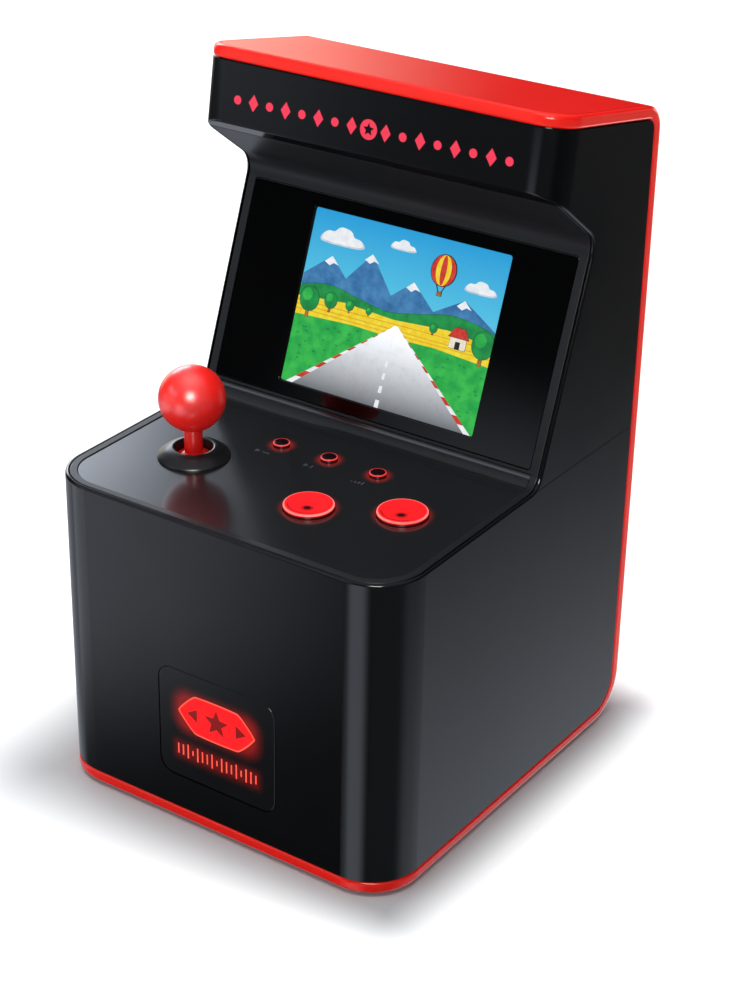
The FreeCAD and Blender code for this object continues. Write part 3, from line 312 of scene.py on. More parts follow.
def moulded(name, colour, rough, grain=0.012, grain_scale=2600.0, vary=0.07, marks=0.25,
            **values):
    """Moulded plastic: fine texture, slow changes of tone and gloss, and hair-fine scuffs."""
    shade = Shade(name, **values)
    cloud = shade.noise(38.0, 3.0)
    fine = shade.noise(grain_scale, 2.0)
    light = tuple(c * (1 + vary) for c in colour) + (1.0,)
    dark = tuple(c * (1 - vary) for c in colour) + (1.0,)
    tone = shade.mix(shade.span(cloud, 0.0, 1.0), dark, light)
    speck = shade.noise(1400.0, 4.0, 0.7)
    tone = shade.mix(shade.span(speck, 0.0, 0.4, 0.58, 0.8), tone,
                     tuple(min(1.0, c * 1.25 + 0.0006) for c in colour) + (1.0,))
    scuffs = shade.noise(1.0, 2.0, vector=shade.stretched(2200.0, 130.0, 420.0))
    scuffs = shade.span(scuffs, 0.0, 1.0, 0.68, 0.76)
    smudge = shade.noise(60.0, 4.0, 0.55)
    gloss = shade.math("ADD", shade.span(smudge, rough * 0.93, rough * 1.08),
                       shade.math("MULTIPLY", scuffs, rough * marks * 0.4))
    normal = shade.bump(fine, grain * MM, 0.6)
    return shade.set(Base_Color=tone, Roughness=gloss, Normal=normal)


# ---- the materials of the record's slots -------------------------------------------------------
# Shares of the badge's size: heights from its middle, and half widths.
EMBLEM_Y, EMBLEM_W, EMBLEM_H = 0.135, 0.345, 0.185
BARS_Y, BARS_W = -0.24, 0.34

# Light round the buttons: where it starts and ends, in mm from the middle, and its strength.
BIG_HALO, SMALL_HALO = (5.0, 6.8, 0.24), (1.9, 3.7, 0.26)
HALO_FALL = 2.2

# Lit caps, in mm: heights above the deck between which a cap turns from dark to lit, radii
# between which the lit part starts round a small button, and radii of the shaded line in a
# large button's dish.
CAP_LIT = (0.30, 0.75)
SMALL_CAP_EDGE = (2.6, 3.4)
DISH_LINE_IN, DISH_LINE_OUT = (3.85, 4.1), (4.25, 4.5)
# The near side over which the painted shade line darkens, and the offset and radii of a round spot
# of painted shade in the middle of the dish, in mm.
DISH_NEAR = (-2.8, -1.4)
DISH_SPOT, DISH_SPOT_EDGE = Vector((0.7, -1.5, 0.0)), (0.5, 1.9)

ball = centre("joystick_ball")
deck, _ = flat_face("control_panel", (0, -0.018, 1.0))
deck_controls = [(name, centre(name), big) for name, big in (
    ("action_button_left", True), ("action_button_right", True), ("menu_button_left", False),
    ("menu_button_middle", False), ("menu_button_right", False))]


def halo(shade, spots, colour):
    """Light that leaks onto a surface; each spot is a distance, its reach in mm and a strength."""
    total = None
    for distance, near, far, power in spots:
        fall = shade.math("POWER", shade.span(distance, 1.0, 0.0, near, far), HALO_FALL)
        fall = shade.math("MULTIPLY", fall, power)
        total = fall if total is None else shade.math("ADD", total, fall)
    return shade.set(Emission_Color=colour, Emission_Strength=total)


def case_black():
    return moulded("case_black", (0.0022, 0.0023, 0.0027), 0.13, grain=0.003)


def wrap_red():
    return moulded("wrap_red", (0.87, 0.009, 0.005), 0.22, grain=0.003, grain_scale=1500.0,
                   vary=0.03, Specular_Tint=(1.0, 0.84, 0.66, 1.0))


def fascia_charcoal():
    return moulded("fascia_charcoal", (0.0115, 0.0121, 0.0136), 0.36, grain=0.008,
                   grain_scale=3200.0, Specular_IOR_Level=0.3)


def panel_black():
    shade = moulded("panel_black", (0.0112, 0.0117, 0.0128), 0.17, grain=0.0012)
    spots = [(shade.away(at), *(BIG_HALO if big else SMALL_HALO)) for _, at, big in deck_controls]
    return halo(shade, spots, (1.0, 0.03, 0.02, 1.0))


def lens_black():
    return moulded("lens_black", (0.0009, 0.0010, 0.0012), 0.06, grain=0.0004, marks=0.6)


def stick_red():
    """Glossy red with a faint painted glow that lightens the ball as more light would, and the fine
    parting line of the ball's halves.
    """
    shade = moulded("stick_red", (0.90, 0.010, 0.005), 0.45, grain=0.003, vary=0.03,
                    Specular_IOR_Level=0.15, Coat_Weight=1.0, Coat_Roughness=0.28, Coat_IOR=1.8)
    # painted glow: a little red emission that lightens the whole ball, standing in for more light
    shade.set(Emission_Color=(1.0, 0.004, 0.002, 1.0), Emission_Strength=0.09)
    height = shade.add("ShaderNodeSeparateXYZ", {0: shade.place}).outputs["Z"]
    off = shade.math("ABSOLUTE", shade.math("SUBTRACT", height, ball.z - 1.6 * MM))
    line = shade.span(off, 0.0, 1.0, 0.03 * MM, 0.10 * MM)
    seam = shade.bump(line, 0.05 * MM, 0.5, shade.bsdf.inputs["Normal"].links[0].from_socket)
    return shade.set(Normal=seam)


def bezel_black():
    return moulded("bezel_black", (0.0100, 0.0100, 0.0110), 0.32, grain=0.003)


def button_red():
    """Lit red caps, dark low on their walls.

    The near edge and the middle of a large button's dish are in shade, and the small buttons
    are dark.
    """
    shade = moulded("button_red", (0.80, 0.012, 0.014), 0.22, grain=0.002, vary=0.03)
    tone = shade.bsdf.inputs["Base Color"].links[0].from_socket
    from_deck = shade.add("ShaderNodeVectorMath", {0: shade.place, 1: deck.translation},
                          operation="SUBTRACT")
    height = shade.add("ShaderNodeVectorMath", {0: from_deck.outputs[0], 1: deck.col[2].xyz / MM},
                       operation="DOT_PRODUCT").outputs["Value"]
    lit = shade.span(height, 0.0, 1.0, *CAP_LIT)
    forward = shade.add("ShaderNodeSeparateXYZ", {0: shade.place}).outputs["Y"]
    for _, at, big in deck_controls:
        out = shade.away(at)
        if not big:
            lit = shade.math("MULTIPLY", lit, shade.span(out, 0.0, 1.0, *SMALL_CAP_EDGE))
            continue
        line = shade.math("MULTIPLY", shade.span(out, 0.0, 1.0, *DISH_LINE_IN),
                          shade.span(out, 1.0, 0.0, *DISH_LINE_OUT))
        near = shade.span(forward, 0.7, 0.0, *(at.y + edge * MM for edge in DISH_NEAR))
        spot = shade.span(shade.away(at + DISH_SPOT * MM), 1.0, 0.0, *DISH_SPOT_EDGE, "SMOOTHSTEP")
        shadow = shade.math("ADD", shade.math("MULTIPLY", line, near),
                            shade.math("MULTIPLY", spot, 0.85))
        lit = shade.math("MULTIPLY", lit, shade.math("SUBTRACT", 1.0, shadow))
    return shade.set(Base_Color=shade.mix(lit, (0.050, 0.006, 0.007, 1.0), tone),
                     Emission_Color=(1.0, 0.006, 0.012, 1.0),
                     Emission_Strength=shade.math("MULTIPLY", lit, 0.50))


def badge_smoke():
    shade = moulded("badge_smoke", (0.0030, 0.0030, 0.0034), 0.14, grain=0.0008)
    low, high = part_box("badge_plate")
    wide, tall = high.x - low.x, high.z - low.z
    middle = (low + high) / 2
    emblem = Vector((middle.x, low.y, middle.z + EMBLEM_Y * tall))
    bars = Vector((middle.x, low.y, middle.z + BARS_Y * tall))
    flat = (1.0, 0.0, 1.0)
    around = shade.away(emblem, (EMBLEM_W * wide - 3.0 * MM, 0.0, 1.2 * MM), flat)
    spots = [(around, 2.4, 5.6, 0.24),
             (shade.away(bars, (BARS_W * wide, 0.0, 1.2 * MM), flat), 0.0, 2.4, 0.12)]
    return halo(shade, spots, (1.0, 0.02, 0.015, 1.0))


def display_face():
    return moulded("display_face", (0.010, 0.010, 0.012), 0.35, grain=0.004)


def inner_black():
    return moulded("inner_black", (0.014, 0.014, 0.015), 0.5, grain=0.02, grain_scale=1800.0)


def gimbal_white():
    return moulded("gimbal_white", (0.70, 0.68, 0.62), 0.42, grain=0.010, vary=0.05)


def silicone():
    return moulded("silicone", (0.30, 0.31, 0.33), 0.62, grain=0.014, vary=0.1, Sheen_Weight=0.2)


def foot_rubber():
    return moulded("foot_rubber", (0.016, 0.016, 0.017), 0.82, grain=0.05, grain_scale=1400.0,
                   marks=0.05)


def board_green():
    shade = Shade("board_green", Coat_Weight=0.3, Coat_Roughness=0.2)
    traces = shade.add("ShaderNodeTexBrick", {
        "Vector": shade.place, "Scale": 420.0, "Color1": (0.006, 0.10, 0.035, 1),
        "Color2": (0.010, 0.13, 0.048, 1), "Mortar": (0.03, 0.24, 0.09, 1), "Mortar Size": 0.05})
    pads = shade.add("ShaderNodeTexVoronoi", {"Vector": shade.place, "Scale": 420.0,
                                              "Randomness": 0.35}).outputs["Distance"]
    spot = shade.span(pads, 1.0, 0.0, 0.10, 0.13)
    shade.set(Base_Color=shade.mix(spot, traces.outputs["Color"], (0.62, 0.55, 0.36, 1)),
              Metallic=shade.math("MULTIPLY", spot, 0.9),
              Roughness=shade.span(shade.noise(160.0), 0.28, 0.46),
              Normal=shade.bump(traces.outputs["Fac"], 0.03 * MM, 0.5))
    return shade


def chip_black():
    return moulded("chip_black", (0.016, 0.016, 0.018), 0.55, grain=0.02, grain_scale=5200.0)


def light_chip():
    shade = moulded("light_chip", (0.80, 0.74, 0.50), 0.35, grain=0.004)
    return shade.set(Emission_Color=(1.0, 0.10, 0.06, 1.0), Emission_Strength=1.2)


def metal(name, colour, rough, brushed):
    shade = Shade(name, Metallic=1.0)
    lines = shade.noise(1.0, 3.0, vector=shade.stretched(*brushed))
    blot = shade.noise(260.0, 4.0)
    dark = tuple(c * 0.72 for c in colour) + (1.0,)
    return shade.set(Base_Color=shade.mix(shade.span(blot, 0.0, 1.0), dark, colour + (1.0,)),
                     Roughness=shade.span(lines, rough * 0.7, rough * 1.4),
                     Normal=shade.bump(lines, 0.004 * MM, 0.5))


def screw_steel():
    return metal("screw_steel", (0.46, 0.46, 0.48), 0.32, (900.0, 900.0, 5200.0))


def contact_nickel():
    return metal("contact_nickel", (0.72, 0.70, 0.66), 0.24, (5200.0, 700.0, 700.0))


def speaker_grey():
    shade = moulded("speaker_grey", (0.055, 0.055, 0.058), 0.7, grain=0.03, grain_scale=1500.0)
    rings = shade.add("ShaderNodeTexWave", {
        "Vector": shade.add("ShaderNodeVectorMath", {0: shade.place, 1: centre("speaker")},
                            operation="SUBTRACT").outputs[0],
        "Scale": 520.0, "Distortion": 0.0}, wave_type="RINGS", rings_direction="Y").outputs["Fac"]
    return shade.set(Normal=shade.bump(rings, 0.12 * MM, 0.6))


def cell_wrap():
    """Printed sleeve: a blue body with dark ends, and thin pale lines between."""
    low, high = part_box("battery_cell_1")
    shade = Shade("cell_wrap", Coat_Weight=0.5, Coat_Roughness=0.1, Metallic=0.35)
    height = shade.add("ShaderNodeSeparateXYZ", {0: shade.place}).outputs["Z"]
    share = shade.span(height, 0.0, 1.0, low.z, high.z)
    grain = shade.noise(1500.0, 3.0)
    tone = shade.ramp(share, (0.0, (0.016, 0.017, 0.02, 1)), (0.20, (0.75, 0.76, 0.74, 1)),
                      (0.215, (0.03, 0.10, 0.26, 1)), (0.785, (0.75, 0.76, 0.74, 1)),
                      (0.80, (0.016, 0.017, 0.02, 1)))
    tone.node.color_ramp.interpolation = "CONSTANT"
    faded = shade.mix(shade.span(grain, 0.0, 0.12), tone, (0.5, 0.5, 0.5, 1.0))
    return shade.set(Base_Color=faded, Roughness=shade.span(shade.noise(180.0), 0.2, 0.36),
                     Normal=shade.bump(grain, 0.006 * MM, 0.4))


def ribbon_white():
    shade = Shade("ribbon_white")
    cores = shade.add("ShaderNodeTexWave", {
        "Vector": shade.place, "Scale": 500.0, "Distortion": 0.0},
        wave_type="BANDS", bands_direction="X").outputs["Fac"]
    return shade.set(Base_Color=shade.mix(cores, (0.50, 0.49, 0.46, 1), (0.78, 0.77, 0.73, 1)),
                     Roughness=shade.span(shade.noise(200.0), 0.4, 0.6),
                     Normal=shade.bump(cores, 0.08 * MM, 0.7))


def wire_red():
    return moulded("wire_red", (0.55, 0.012, 0.010), 0.42, grain=0.01, vary=0.1)


def wire_black():
    return moulded("wire_black", (0.012, 0.012, 0.013), 0.46, grain=0.01)


finishes = {make.__name__: make().material for make in (
    case_black, wrap_red, fascia_charcoal, panel_black, lens_black, stick_red, bezel_black,
    button_red, badge_smoke, display_face, inner_black, gimbal_white, silicone, foot_rubber,
    board_green, chip_black, light_chip, screw_steel, contact_nickel, speaker_grey, cell_wrap,
    ribbon_white, wire_red, wire_black)}

for part in frame["record"]["subparts"]:
    node = frame["nodes"][part["node"]]
    for material_slot in node.material_slots:
        material_slot.material = finishes[part["material_slot"]]


# ---- printed and lit details -------------------------------------------------------------------
def print_ink():
    shade = moulded("print_crimson", (0.62, 0.016, 0.055), 0.42, grain=0.004, vary=0.08)
    return shade.set(Emission_Color=(0.75, 0.010, 0.035, 1.0), Emission_Strength=0.34).material


def glow(name, core, edge, strength):
    """Backlit red: a little uneven, as light through tinted plastic is."""
    shade = Shade(name, Specular_IOR_Level=0.1)
    patch = shade.span(shade.noise(220.0, 3.0), 0.0, 1.0)
    shade.set(Base_Color=(0.30, 0.01, 0.01, 1.0), Emission_Color=shade.mix(patch, edge, core),
              Emission_Strength=strength, Roughness=shade.span(shade.noise(400.0), 0.2, 0.3))
    return shade.material


marquee, (_, marquee_height) = flat_face("upper_shell", (0, -0.987, 0.157))
ROW_HEIGHT = 3.5
ROW_MIDDLE = -0.105 * marquee_height
ROW_LOW, ROW_HIGH = ROW_MIDDLE - ROW_HEIGHT / 2, ROW_MIDDLE + ROW_HEIGHT / 2
ROW_PITCH, ROW_STEPS = 4.0, 8           # distance between marks, and marks on each side
DISC_RADIUS, DOT_RADIUS, DIAMOND_HALF = 2.0, 0.9, 1.2


def marquee_row():
    """A disc with a star, with evenly spaced diamonds and dots on both sides of it."""
    marks = [[oval(0.0, ROW_MIDDLE, DISC_RADIUS), star(0.0, ROW_MIDDLE, 1.35, 0.62)]]
    for step in range(1, ROW_STEPS + 1):
        for x in (-ROW_PITCH * step, ROW_PITCH * step):
            if step % 2:
                marks.append([[(x - DIAMOND_HALF, ROW_MIDDLE), (x, ROW_LOW),
                               (x + DIAMOND_HALF, ROW_MIDDLE), (x, ROW_HIGH)]])
            else:
                marks.append([oval(x, ROW_MIDDLE, DOT_RADIUS)])
    return marks


slab("marquee_row", marquee_row(), marquee, PRINT_LOW, PRINT_HIGH, "case",
     print_ink())

# Badge: a lit lozenge with a star and two arrows, over a row of level bars.
badge, (badge_width, badge_height) = flat_face("badge_plate", (0, -1, 0))
lozenge_y = EMBLEM_Y * badge_height
lozenge_w, lozenge_h = EMBLEM_W * badge_width, EMBLEM_H * badge_height
cut = lozenge_h * 0.95
outline = [(-lozenge_w, lozenge_y), (-lozenge_w + cut, lozenge_y - lozenge_h),
           (lozenge_w - cut, lozenge_y - lozenge_h), (lozenge_w, lozenge_y),
           (lozenge_w - cut, lozenge_y + lozenge_h), (-lozenge_w + cut, lozenge_y + lozenge_h)]
CORNER = 0.14                           # share of each side that its rounded corners take
soft_outline = smooth_loop([tuple((1 - share) * u + share * v for u, v in zip(a, b))
                            for a, b in zip(outline, outline[1:] + outline[:1])
                            for share in (CORNER, 1 - CORNER)], 4)
EMBLEM_RIM = 0.34
inner_outline = grown(soft_outline, -EMBLEM_RIM)
symbols = [star(0.0, lozenge_y, 3.1, 1.35)]
for side in (-1, 1):
    symbols.append([(side * 7.4, lozenge_y), (side * 4.9, lozenge_y - 1.5),
                    (side * 4.9, lozenge_y + 1.5)])
red_light = glow("badge_glow", (0.96, 0.004, 0.008, 1.0), (0.84, 0.002, 0.005, 1.0), 0.96)
rim_light = glow("badge_rim_glow", (1.0, 0.14, 0.08, 1.0), (1.0, 0.09, 0.05, 1.0), 1.0)
slab("badge_emblem", [[inner_outline] + symbols], badge, PRINT_LOW, PRINT_HIGH, "case",
     red_light)
slab("badge_emblem_rim", [[soft_outline, inner_outline]], badge, PRINT_LOW, RIM_HIGH, "case",
     rim_light)
BAR_COUNT, BAR_PITCH, BAR_HALF = 17, 1.23, 0.17
bars_y = BARS_Y * badge_height
bars = []
for i in range(BAR_COUNT):
    x = (i - BAR_COUNT // 2) * BAR_PITCH
    tall = 1.1 + 2.3 * abs(math.sin(1.9 * i + 0.6))
    bars.append([rect(x - BAR_HALF, bars_y - tall / 2, x + BAR_HALF, bars_y + tall / 2)])
slab("badge_level_bars", bars, badge, PRINT_LOW, PRINT_HIGH, "case", rim_light)

# Light rings round the buttons, and small marks beside the three little ones.
ring_light = glow("button_ring_glow", (1.0, 0.27, 0.24, 1.0), (1.0, 0.15, 0.13, 1.0), 1.15)
small_ring_light = glow("menu_ring_glow", (1.0, 0.20, 0.20, 1.0), (0.95, 0.03, 0.03, 1.0), 0.85)


def on_deck(point):
    """The deck's frame with its origin under a point."""
    local = deck.inverted() @ point
    return deck @ Matrix.Translation((local.x, local.y, 0.0))


def light_ring(button, at, inner, outer, low, high, material):
    """Low half-round ring on a button's cap."""
    arc = [((inner + outer) / 2 - (outer - inner) / 2 * math.cos(math.radians(a)),
            low + (high - low) * (0.35 + 0.65 * math.sin(math.radians(a))))
           for a in range(0, 181, 20)]
    turned(button.replace("button", "light_ring"), [(inner, low)] + arc + [(outer, low)],
           on_deck(at), button + "_body", material)


BIG_RING, SMALL_RING = (4.60, 5.06), (1.50, 1.74)      # inner and outer radius
CAP_DOME = ((0.0, -0.1), (1.50, -0.1), (1.48, 0.06), (1.2, 0.09), (0.6, 0.13), (0.0, 0.15))
# Outline, in mm, of a thin dark slab of painted shade in the middle of a large button's dish.
SHADE_SPOT_OUTLINE = [(0.0, -1.5), (0.3, -1.1), (0.9, -0.9), (1.3, -1.3), (1.0, -1.8), (0.4, -2.0)]
cap_dark = moulded("menu_cap_dark", (0.010, 0.0016, 0.0018), 0.10, grain=0.0006).material
shade_spot_dark = moulded("button_shade_spot", (0.035, 0.002, 0.004), 0.2, grain=0.001).material
for name, at, big in deck_controls:
    top = (deck.inverted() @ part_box(name)[1]).z / MM
    body = name + "_body"
    if big:
        light_ring(name, at, *BIG_RING, top - 0.30, top + 0.03, ring_light)
        # painted shade: a thin dark slab at the dish's middle
        slab(name.replace("button", "shade_spot"), [[smooth_loop(SHADE_SPOT_OUTLINE)]], on_deck(at), top - 0.34,
             top - 0.10, body, shade_spot_dark)
    else:
        light_ring(name, at, *SMALL_RING, top - 0.22, top + 0.02, small_ring_light)
        turned(name.replace("button", "dark_cap"), [(r, top + h) for r, h in CAP_DOME],
               on_deck(at), body, cap_dark, count=48)


def panel_mark(kind, x, y):
    """Outlines of one small mark: 0 is play and a bar, 1 play and pause, 2 a row of levels."""
    if kind == 2:
        return [[rect(x - 1.5 + 0.8 * k, y - 0.6, x - 1.1 + 0.8 * k, y - 0.3 + 0.28 * k)]
                for k in range(4)]
    left = x - (1.5, 1.3)[kind]
    bar = (rect(x + 0.2, y - 0.15, x + 1.9, y + 0.15), rect(x + 0.3, y - 0.6, x + 0.7, y + 0.6))
    return [[[(left, y - 0.6), (left + 1.1, y), (left, y + 0.6)]], [bar[kind]]]


mark_grey = moulded("panel_mark_grey", (0.050, 0.052, 0.058), 0.4, grain=0.003).material
for i, at in enumerate(at for _, at, big in deck_controls if not big):
    local = deck.inverted() @ at
    slab("panel_mark_%d" % (i + 1), panel_mark(i, local.x / MM - 1.6, local.y / MM - 4.6), deck,
         PRINT_LOW, MARK_HIGH, "case", mark_grey)


# ---- the picture on the screen ------------------------------------------------------------------
ART_W, ART_H = 100.0, 76.9              # the picture's own units
screen, (panel_w, panel_h) = flat_face("display_panel", (0, -0.939, 0.3435))
WINDOW_MARGIN = 2.06                    # from the panel's sides to the picture, in mm
WINDOW_EDGE = (0.42, 0.56)              # inner and outer offset of the frame line, in mm
LAYER_BASE, LAYER_STEP = 0.03, 0.008    # height of the picture's layers, in mm
art_scale = (panel_w - 2 * WINDOW_MARGIN) / ART_W
layer_count = 0


def screen_ink(name, low, high, vertical=False, spots=0.0, scale=900.0, strength=0.92):
    """Lit picture colour that runs from one tone to another, with a fine pixel grid in it."""
    shade = Shade(name, Base_Color=(0.004, 0.004, 0.004, 1.0), Roughness=0.3)
    if vertical:
        foot, head = ((screen @ Vector((0, side * panel_h / 2 * MM, 0))).z for side in (-1, 1))
        height = shade.add("ShaderNodeSeparateXYZ", {0: shade.place}).outputs["Z"]
        share = shade.span(height, 0.0, 1.0, foot, head)
    else:
        share = shade.span(shade.noise(scale, 3.0), 0.0, 1.0, 0.35, 0.65)
    tone = shade.mix(share, linear(*low), linear(*high))
    if spots:
        dark = shade.span(shade.noise(scale * 1.7, 4.0, 0.7), 0.0, spots, 0.5, 0.75)
        tone = shade.mix(dark, tone, linear(*[c * 0.55 for c in low]))
    grid = shade.add("ShaderNodeTexBrick", {
        "Vector": shade.place, "Scale": 3300.0, "Color1": (1, 1, 1, 1),
        "Color2": (0.97, 0.98, 1, 1), "Mortar": (0.86, 0.86, 0.88, 1), "Mortar Size": 0.03,
        "Brick Width": 0.5, "Row Height": 0.5})
    tone = shade.add("ShaderNodeMix", {0: 1.0, 6: tone, 7: grid.outputs["Color"]}, data_type="RGBA",
                     blend_type="MULTIPLY").outputs[2]
    rough = shade.span(shade.noise(300.0), 0.26, 0.36)
    return shade.set(Emission_Color=tone, Emission_Strength=strength, Roughness=rough)


def art(name, shapes, material, outline=None, width=0.34):
    """One layer of the picture. Each shape is a loop, or a list of a loop and its holes."""
    global layer_count
    shapes = [s if isinstance(s[0], list) else [s] for s in shapes]
    if outline:
        art(name + "_outline", [[grown(s[0], width)] for s in shapes], outline)
    layer_count += 1
    half_w, half_h = ART_W / 2, ART_H / 2
    cut = []
    for loops in shapes:
        cut.append([[((min(max(x, 0.0), ART_W) - half_w) * art_scale,
                      (min(max(y, 0.0), ART_H) - half_h) * art_scale) for x, y in loop]
                    for loop in loops])
    layer = slab("screen_" + name, cut, screen, 0.0, LAYER_BASE + LAYER_STEP * layer_count, "case",
                 material.material)
    layer.visible_glossy = layer.visible_diffuse = False      # a display is dim at grazing angles


def from_top(points):
    """Points given with y measured down from the picture's top."""
    return [(x, ART_H - y) for x, y in points]


line_dark = screen_ink("art_line_dark", (24, 26, 30), (44, 44, 50))
cloud_white = screen_ink("art_cloud", (232, 240, 246), (255, 255, 255), scale=600.0)
leaf_light = screen_ink("art_leaf", (28, 164, 70), (60, 194, 80), scale=420.0)
leaf_mid = screen_ink("art_leaf_mid", (10, 128, 62), (30, 156, 74), scale=420.0)
leaf_dark = screen_ink("art_leaf_dark", (6, 84, 50), (16, 112, 60), scale=420.0)
red_paint = screen_ink("art_red", (196, 44, 36), (220, 70, 52))
yellow_paint = screen_ink("art_yellow", (250, 206, 20), (255, 232, 62), scale=700.0, spots=0.2)

# Sky with clouds, and mountains with snow.
art("sky", [rect(0, 40, 100, ART_H)],
    screen_ink("art_sky", (130, 250, 255), (0, 156, 222), vertical=True))
CLOUD = [(-14, 1), (-11, -3), (-6, -3.6), (-2, -6.6), (5, -5.8), (8, -2.6), (13, -1.6), (15, 1.6),
         (8, 3), (-10, 3)]
CLOUD_PLACES = ((16, 11, 0.8), (47, 7.5, 0.45), (88, 17, 0.55))      # x, y and size
cloud_grey = screen_ink("art_cloud_shade", (178, 198, 216), (214, 226, 236), scale=600.0)
for tone, grow, drop in ((cloud_grey, 1.0, 0.5), (cloud_white, 0.92, 0.0)):
    art("clouds_%d" % layer_count,
        [smooth_loop(from_top([(x + px * size * grow, y + py * size * grow + drop)
                               for px, py in CLOUD])) for x, y, size in CLOUD_PLACES], tone)
PEAKS = ((13, 19), (33, 14), (56, 21), (82, 23))
ridge = [(0.2, 38), (0.2, 29), PEAKS[0], (22, 27), PEAKS[1], (46, 29), PEAKS[2], (68, 31),
         PEAKS[3], (99.8, 33), (99.8, 38)]
art("mountains", [from_top(ridge)],
    screen_ink("art_mountain", (44, 104, 160), (74, 136, 188), scale=400.0))
SNOW = ((0, 0), (4, 3.4), (1.4, 2.8), (-0.6, 4.2), (-3.4, 2.9))
art("snow", [from_top([(x + px, y + py) for px, py in SNOW]) for x, y in PEAKS], cloud_white)

# Hills, fields and grass.
art("hills", [smooth_loop(from_top([
    (0.4, 42), (0.4, 34.5), (15, 31.5), (31, 34), (46, 36), (62, 33.5), (79, 30.5), (99.6, 34),
    (99.6, 42)]))], leaf_mid, leaf_dark, 0.2)
art("field", [from_top([(0, 39), (24, 37.2), (50, 38.6), (77, 36.8), (100, 39), (100, 50),
                        (0, 50)])], yellow_paint)
art("furrows", [from_top([(0, y), (100, y + tilt), (100, y + tilt + 0.3), (0, y + 0.4)])
                for y, tilt in ((40.6, -0.8), (42.4, 0.3), (44.3, -0.2))],
    screen_ink("art_furrow", (214, 158, 22), (232, 182, 40)))
art("grass", [from_top([(0, 47), (30, 45.6), (50, 46.2), (72, 45.6), (100, 47.4), (100, ART_H),
                        (0, ART_H)])], leaf_light)
TUFT = ((0, 0), (0.5, -1.2), (0.8, -0.2), (1.4, -1.0), (1.6, 0))
scatter = random.Random(4)
spots = [(scatter.uniform(1, 97), scatter.uniform(47.6, 74)) for _ in range(60)]
art("tufts", [from_top([(x + px, y + py) for px, py in TUFT]) for x, y in spots], leaf_mid)

# A wide pale road to the horizon, with red and white kerbs and a broken middle line.
FAR_X, FAR_Y, NEAR_Y = 52.0, 41.0, ART_H
FAR_HALF, NEAR_HALF, DRIFT = 0.8, 47.0, -1.5
STRIPES, SHRINK = 18, 1.7               # kerb stones along the road, and how they gather far off
KERB, LINE_HALF = 0.07, 0.022           # shares of the road's half width


def road_point(side, depth):
    """Point of the road: side -1 to 1 across it, depth 0 (far) to 1 (near)."""
    return (FAR_X + (side * NEAR_HALF + DRIFT) * depth + side * FAR_HALF,
            FAR_Y + (NEAR_Y - FAR_Y) * depth)


def road_strip(left, right, far, near):
    return from_top([road_point(left, far), road_point(right, far), road_point(right, near),
                     road_point(left, near)])


art("road", [road_strip(-1, 1, 0.0, 1.0)],
    screen_ink("art_road", (64, 72, 76), (400, 404, 410), vertical=True, scale=300.0, spots=0.12))
steps = [(k / STRIPES) ** SHRINK for k in range(STRIPES + 1)]
for start, colour_name, paint in ((0, "red", red_paint), (1, "white", cloud_white)):
    art("kerb_" + colour_name, [road_strip(left, left + KERB, steps[k], steps[k + 1])
                                for k in range(start, STRIPES, 2) for left in (-1.0, 1.0 - KERB)],
        paint)
art("middle_line", [road_strip(-LINE_HALF, LINE_HALF, steps[k], steps[k + 1])
                    for k in range(1, STRIPES, 2)], cloud_white)

# Round trees, a barn and a striped balloon.
TREES = ((6, 47.5, 1.25), (17, 43, 0.8), (27, 41, 0.5), (37, 40, 0.35), (70, 40.5, 0.45),
         (95, 48, 1.35))                # x, foot and size
art("tree_trunks", [rect(x - 0.6 * s, ART_H - y, x + 0.6 * s, ART_H - y + 4 * s)
                    for x, y, s in TREES],
    screen_ink("art_trunk", (150, 92, 36), (186, 120, 52), scale=500.0), line_dark, 0.15)
art("tree_crowns", [oval(x, ART_H - y + 6.6 * s, 3.9 * s, 4.3 * s) for x, y, s in TREES],
    leaf_mid, leaf_dark, 0.25)
art("tree_lights", [oval(x - 1.1 * s, ART_H - y + 7.9 * s, 2.1 * s, 2.2 * s) for x, y, s in TREES],
    leaf_light)
art("barn", [from_top([(79, 43.5), (79, 38.5), (87, 38.5), (87, 43.5)])],
    screen_ink("art_barn", (236, 226, 200), (250, 244, 226)), line_dark, 0.2)
art("barn_roof", [from_top([(77.8, 38.8), (80.6, 34.6), (85.4, 34.6), (88.2, 38.8)])],
    red_paint, line_dark, 0.2)
art("barn_door", [from_top([(81.8, 43.5), (81.8, 40.4), (84.2, 40.4), (84.2, 43.5)])], line_dark)
BALLOON = (69.0, ART_H - 13.0)
ROPE = ((3, -5), (0.9, -9.2), (0.6, -9.2), (2.6, -5))
art("balloon_basket", [rect(BALLOON[0] - 1.1, BALLOON[1] - 10.8, BALLOON[0] + 1.1,
                            BALLOON[1] - 9.2)],
    screen_ink("art_basket", (150, 92, 36), (186, 120, 52)), line_dark, 0.2)
art("balloon_ropes", [[(BALLOON[0] + way * x, BALLOON[1] + y) for x, y in ROPE][::way]
                      for way in (-1, 1)], line_dark)
art("balloon", [oval(*BALLOON, 6.0, 6.6)], red_paint, line_dark, 0.3)
art("balloon_stripe", [oval(*BALLOON, 3.7, 6.5)], yellow_paint)
art("balloon_middle", [oval(*BALLOON, 1.4, 6.4)], red_paint)

# Grey line round the picture: a painted highlight standing for the light on the window's bevelled
# edge.
half_w, half_h = ART_W / 2 * art_scale, ART_H / 2 * art_scale
slab("screen_window_edge", [[rect(-half_w - edge, -half_h - edge, half_w + edge, half_h + edge)
                             for edge in reversed(WINDOW_EDGE)]], screen, 0.0, 0.1, "case",
     moulded("window_edge_painted_highlight", (0.075, 0.078, 0.086), 0.4, grain=0.003).material)


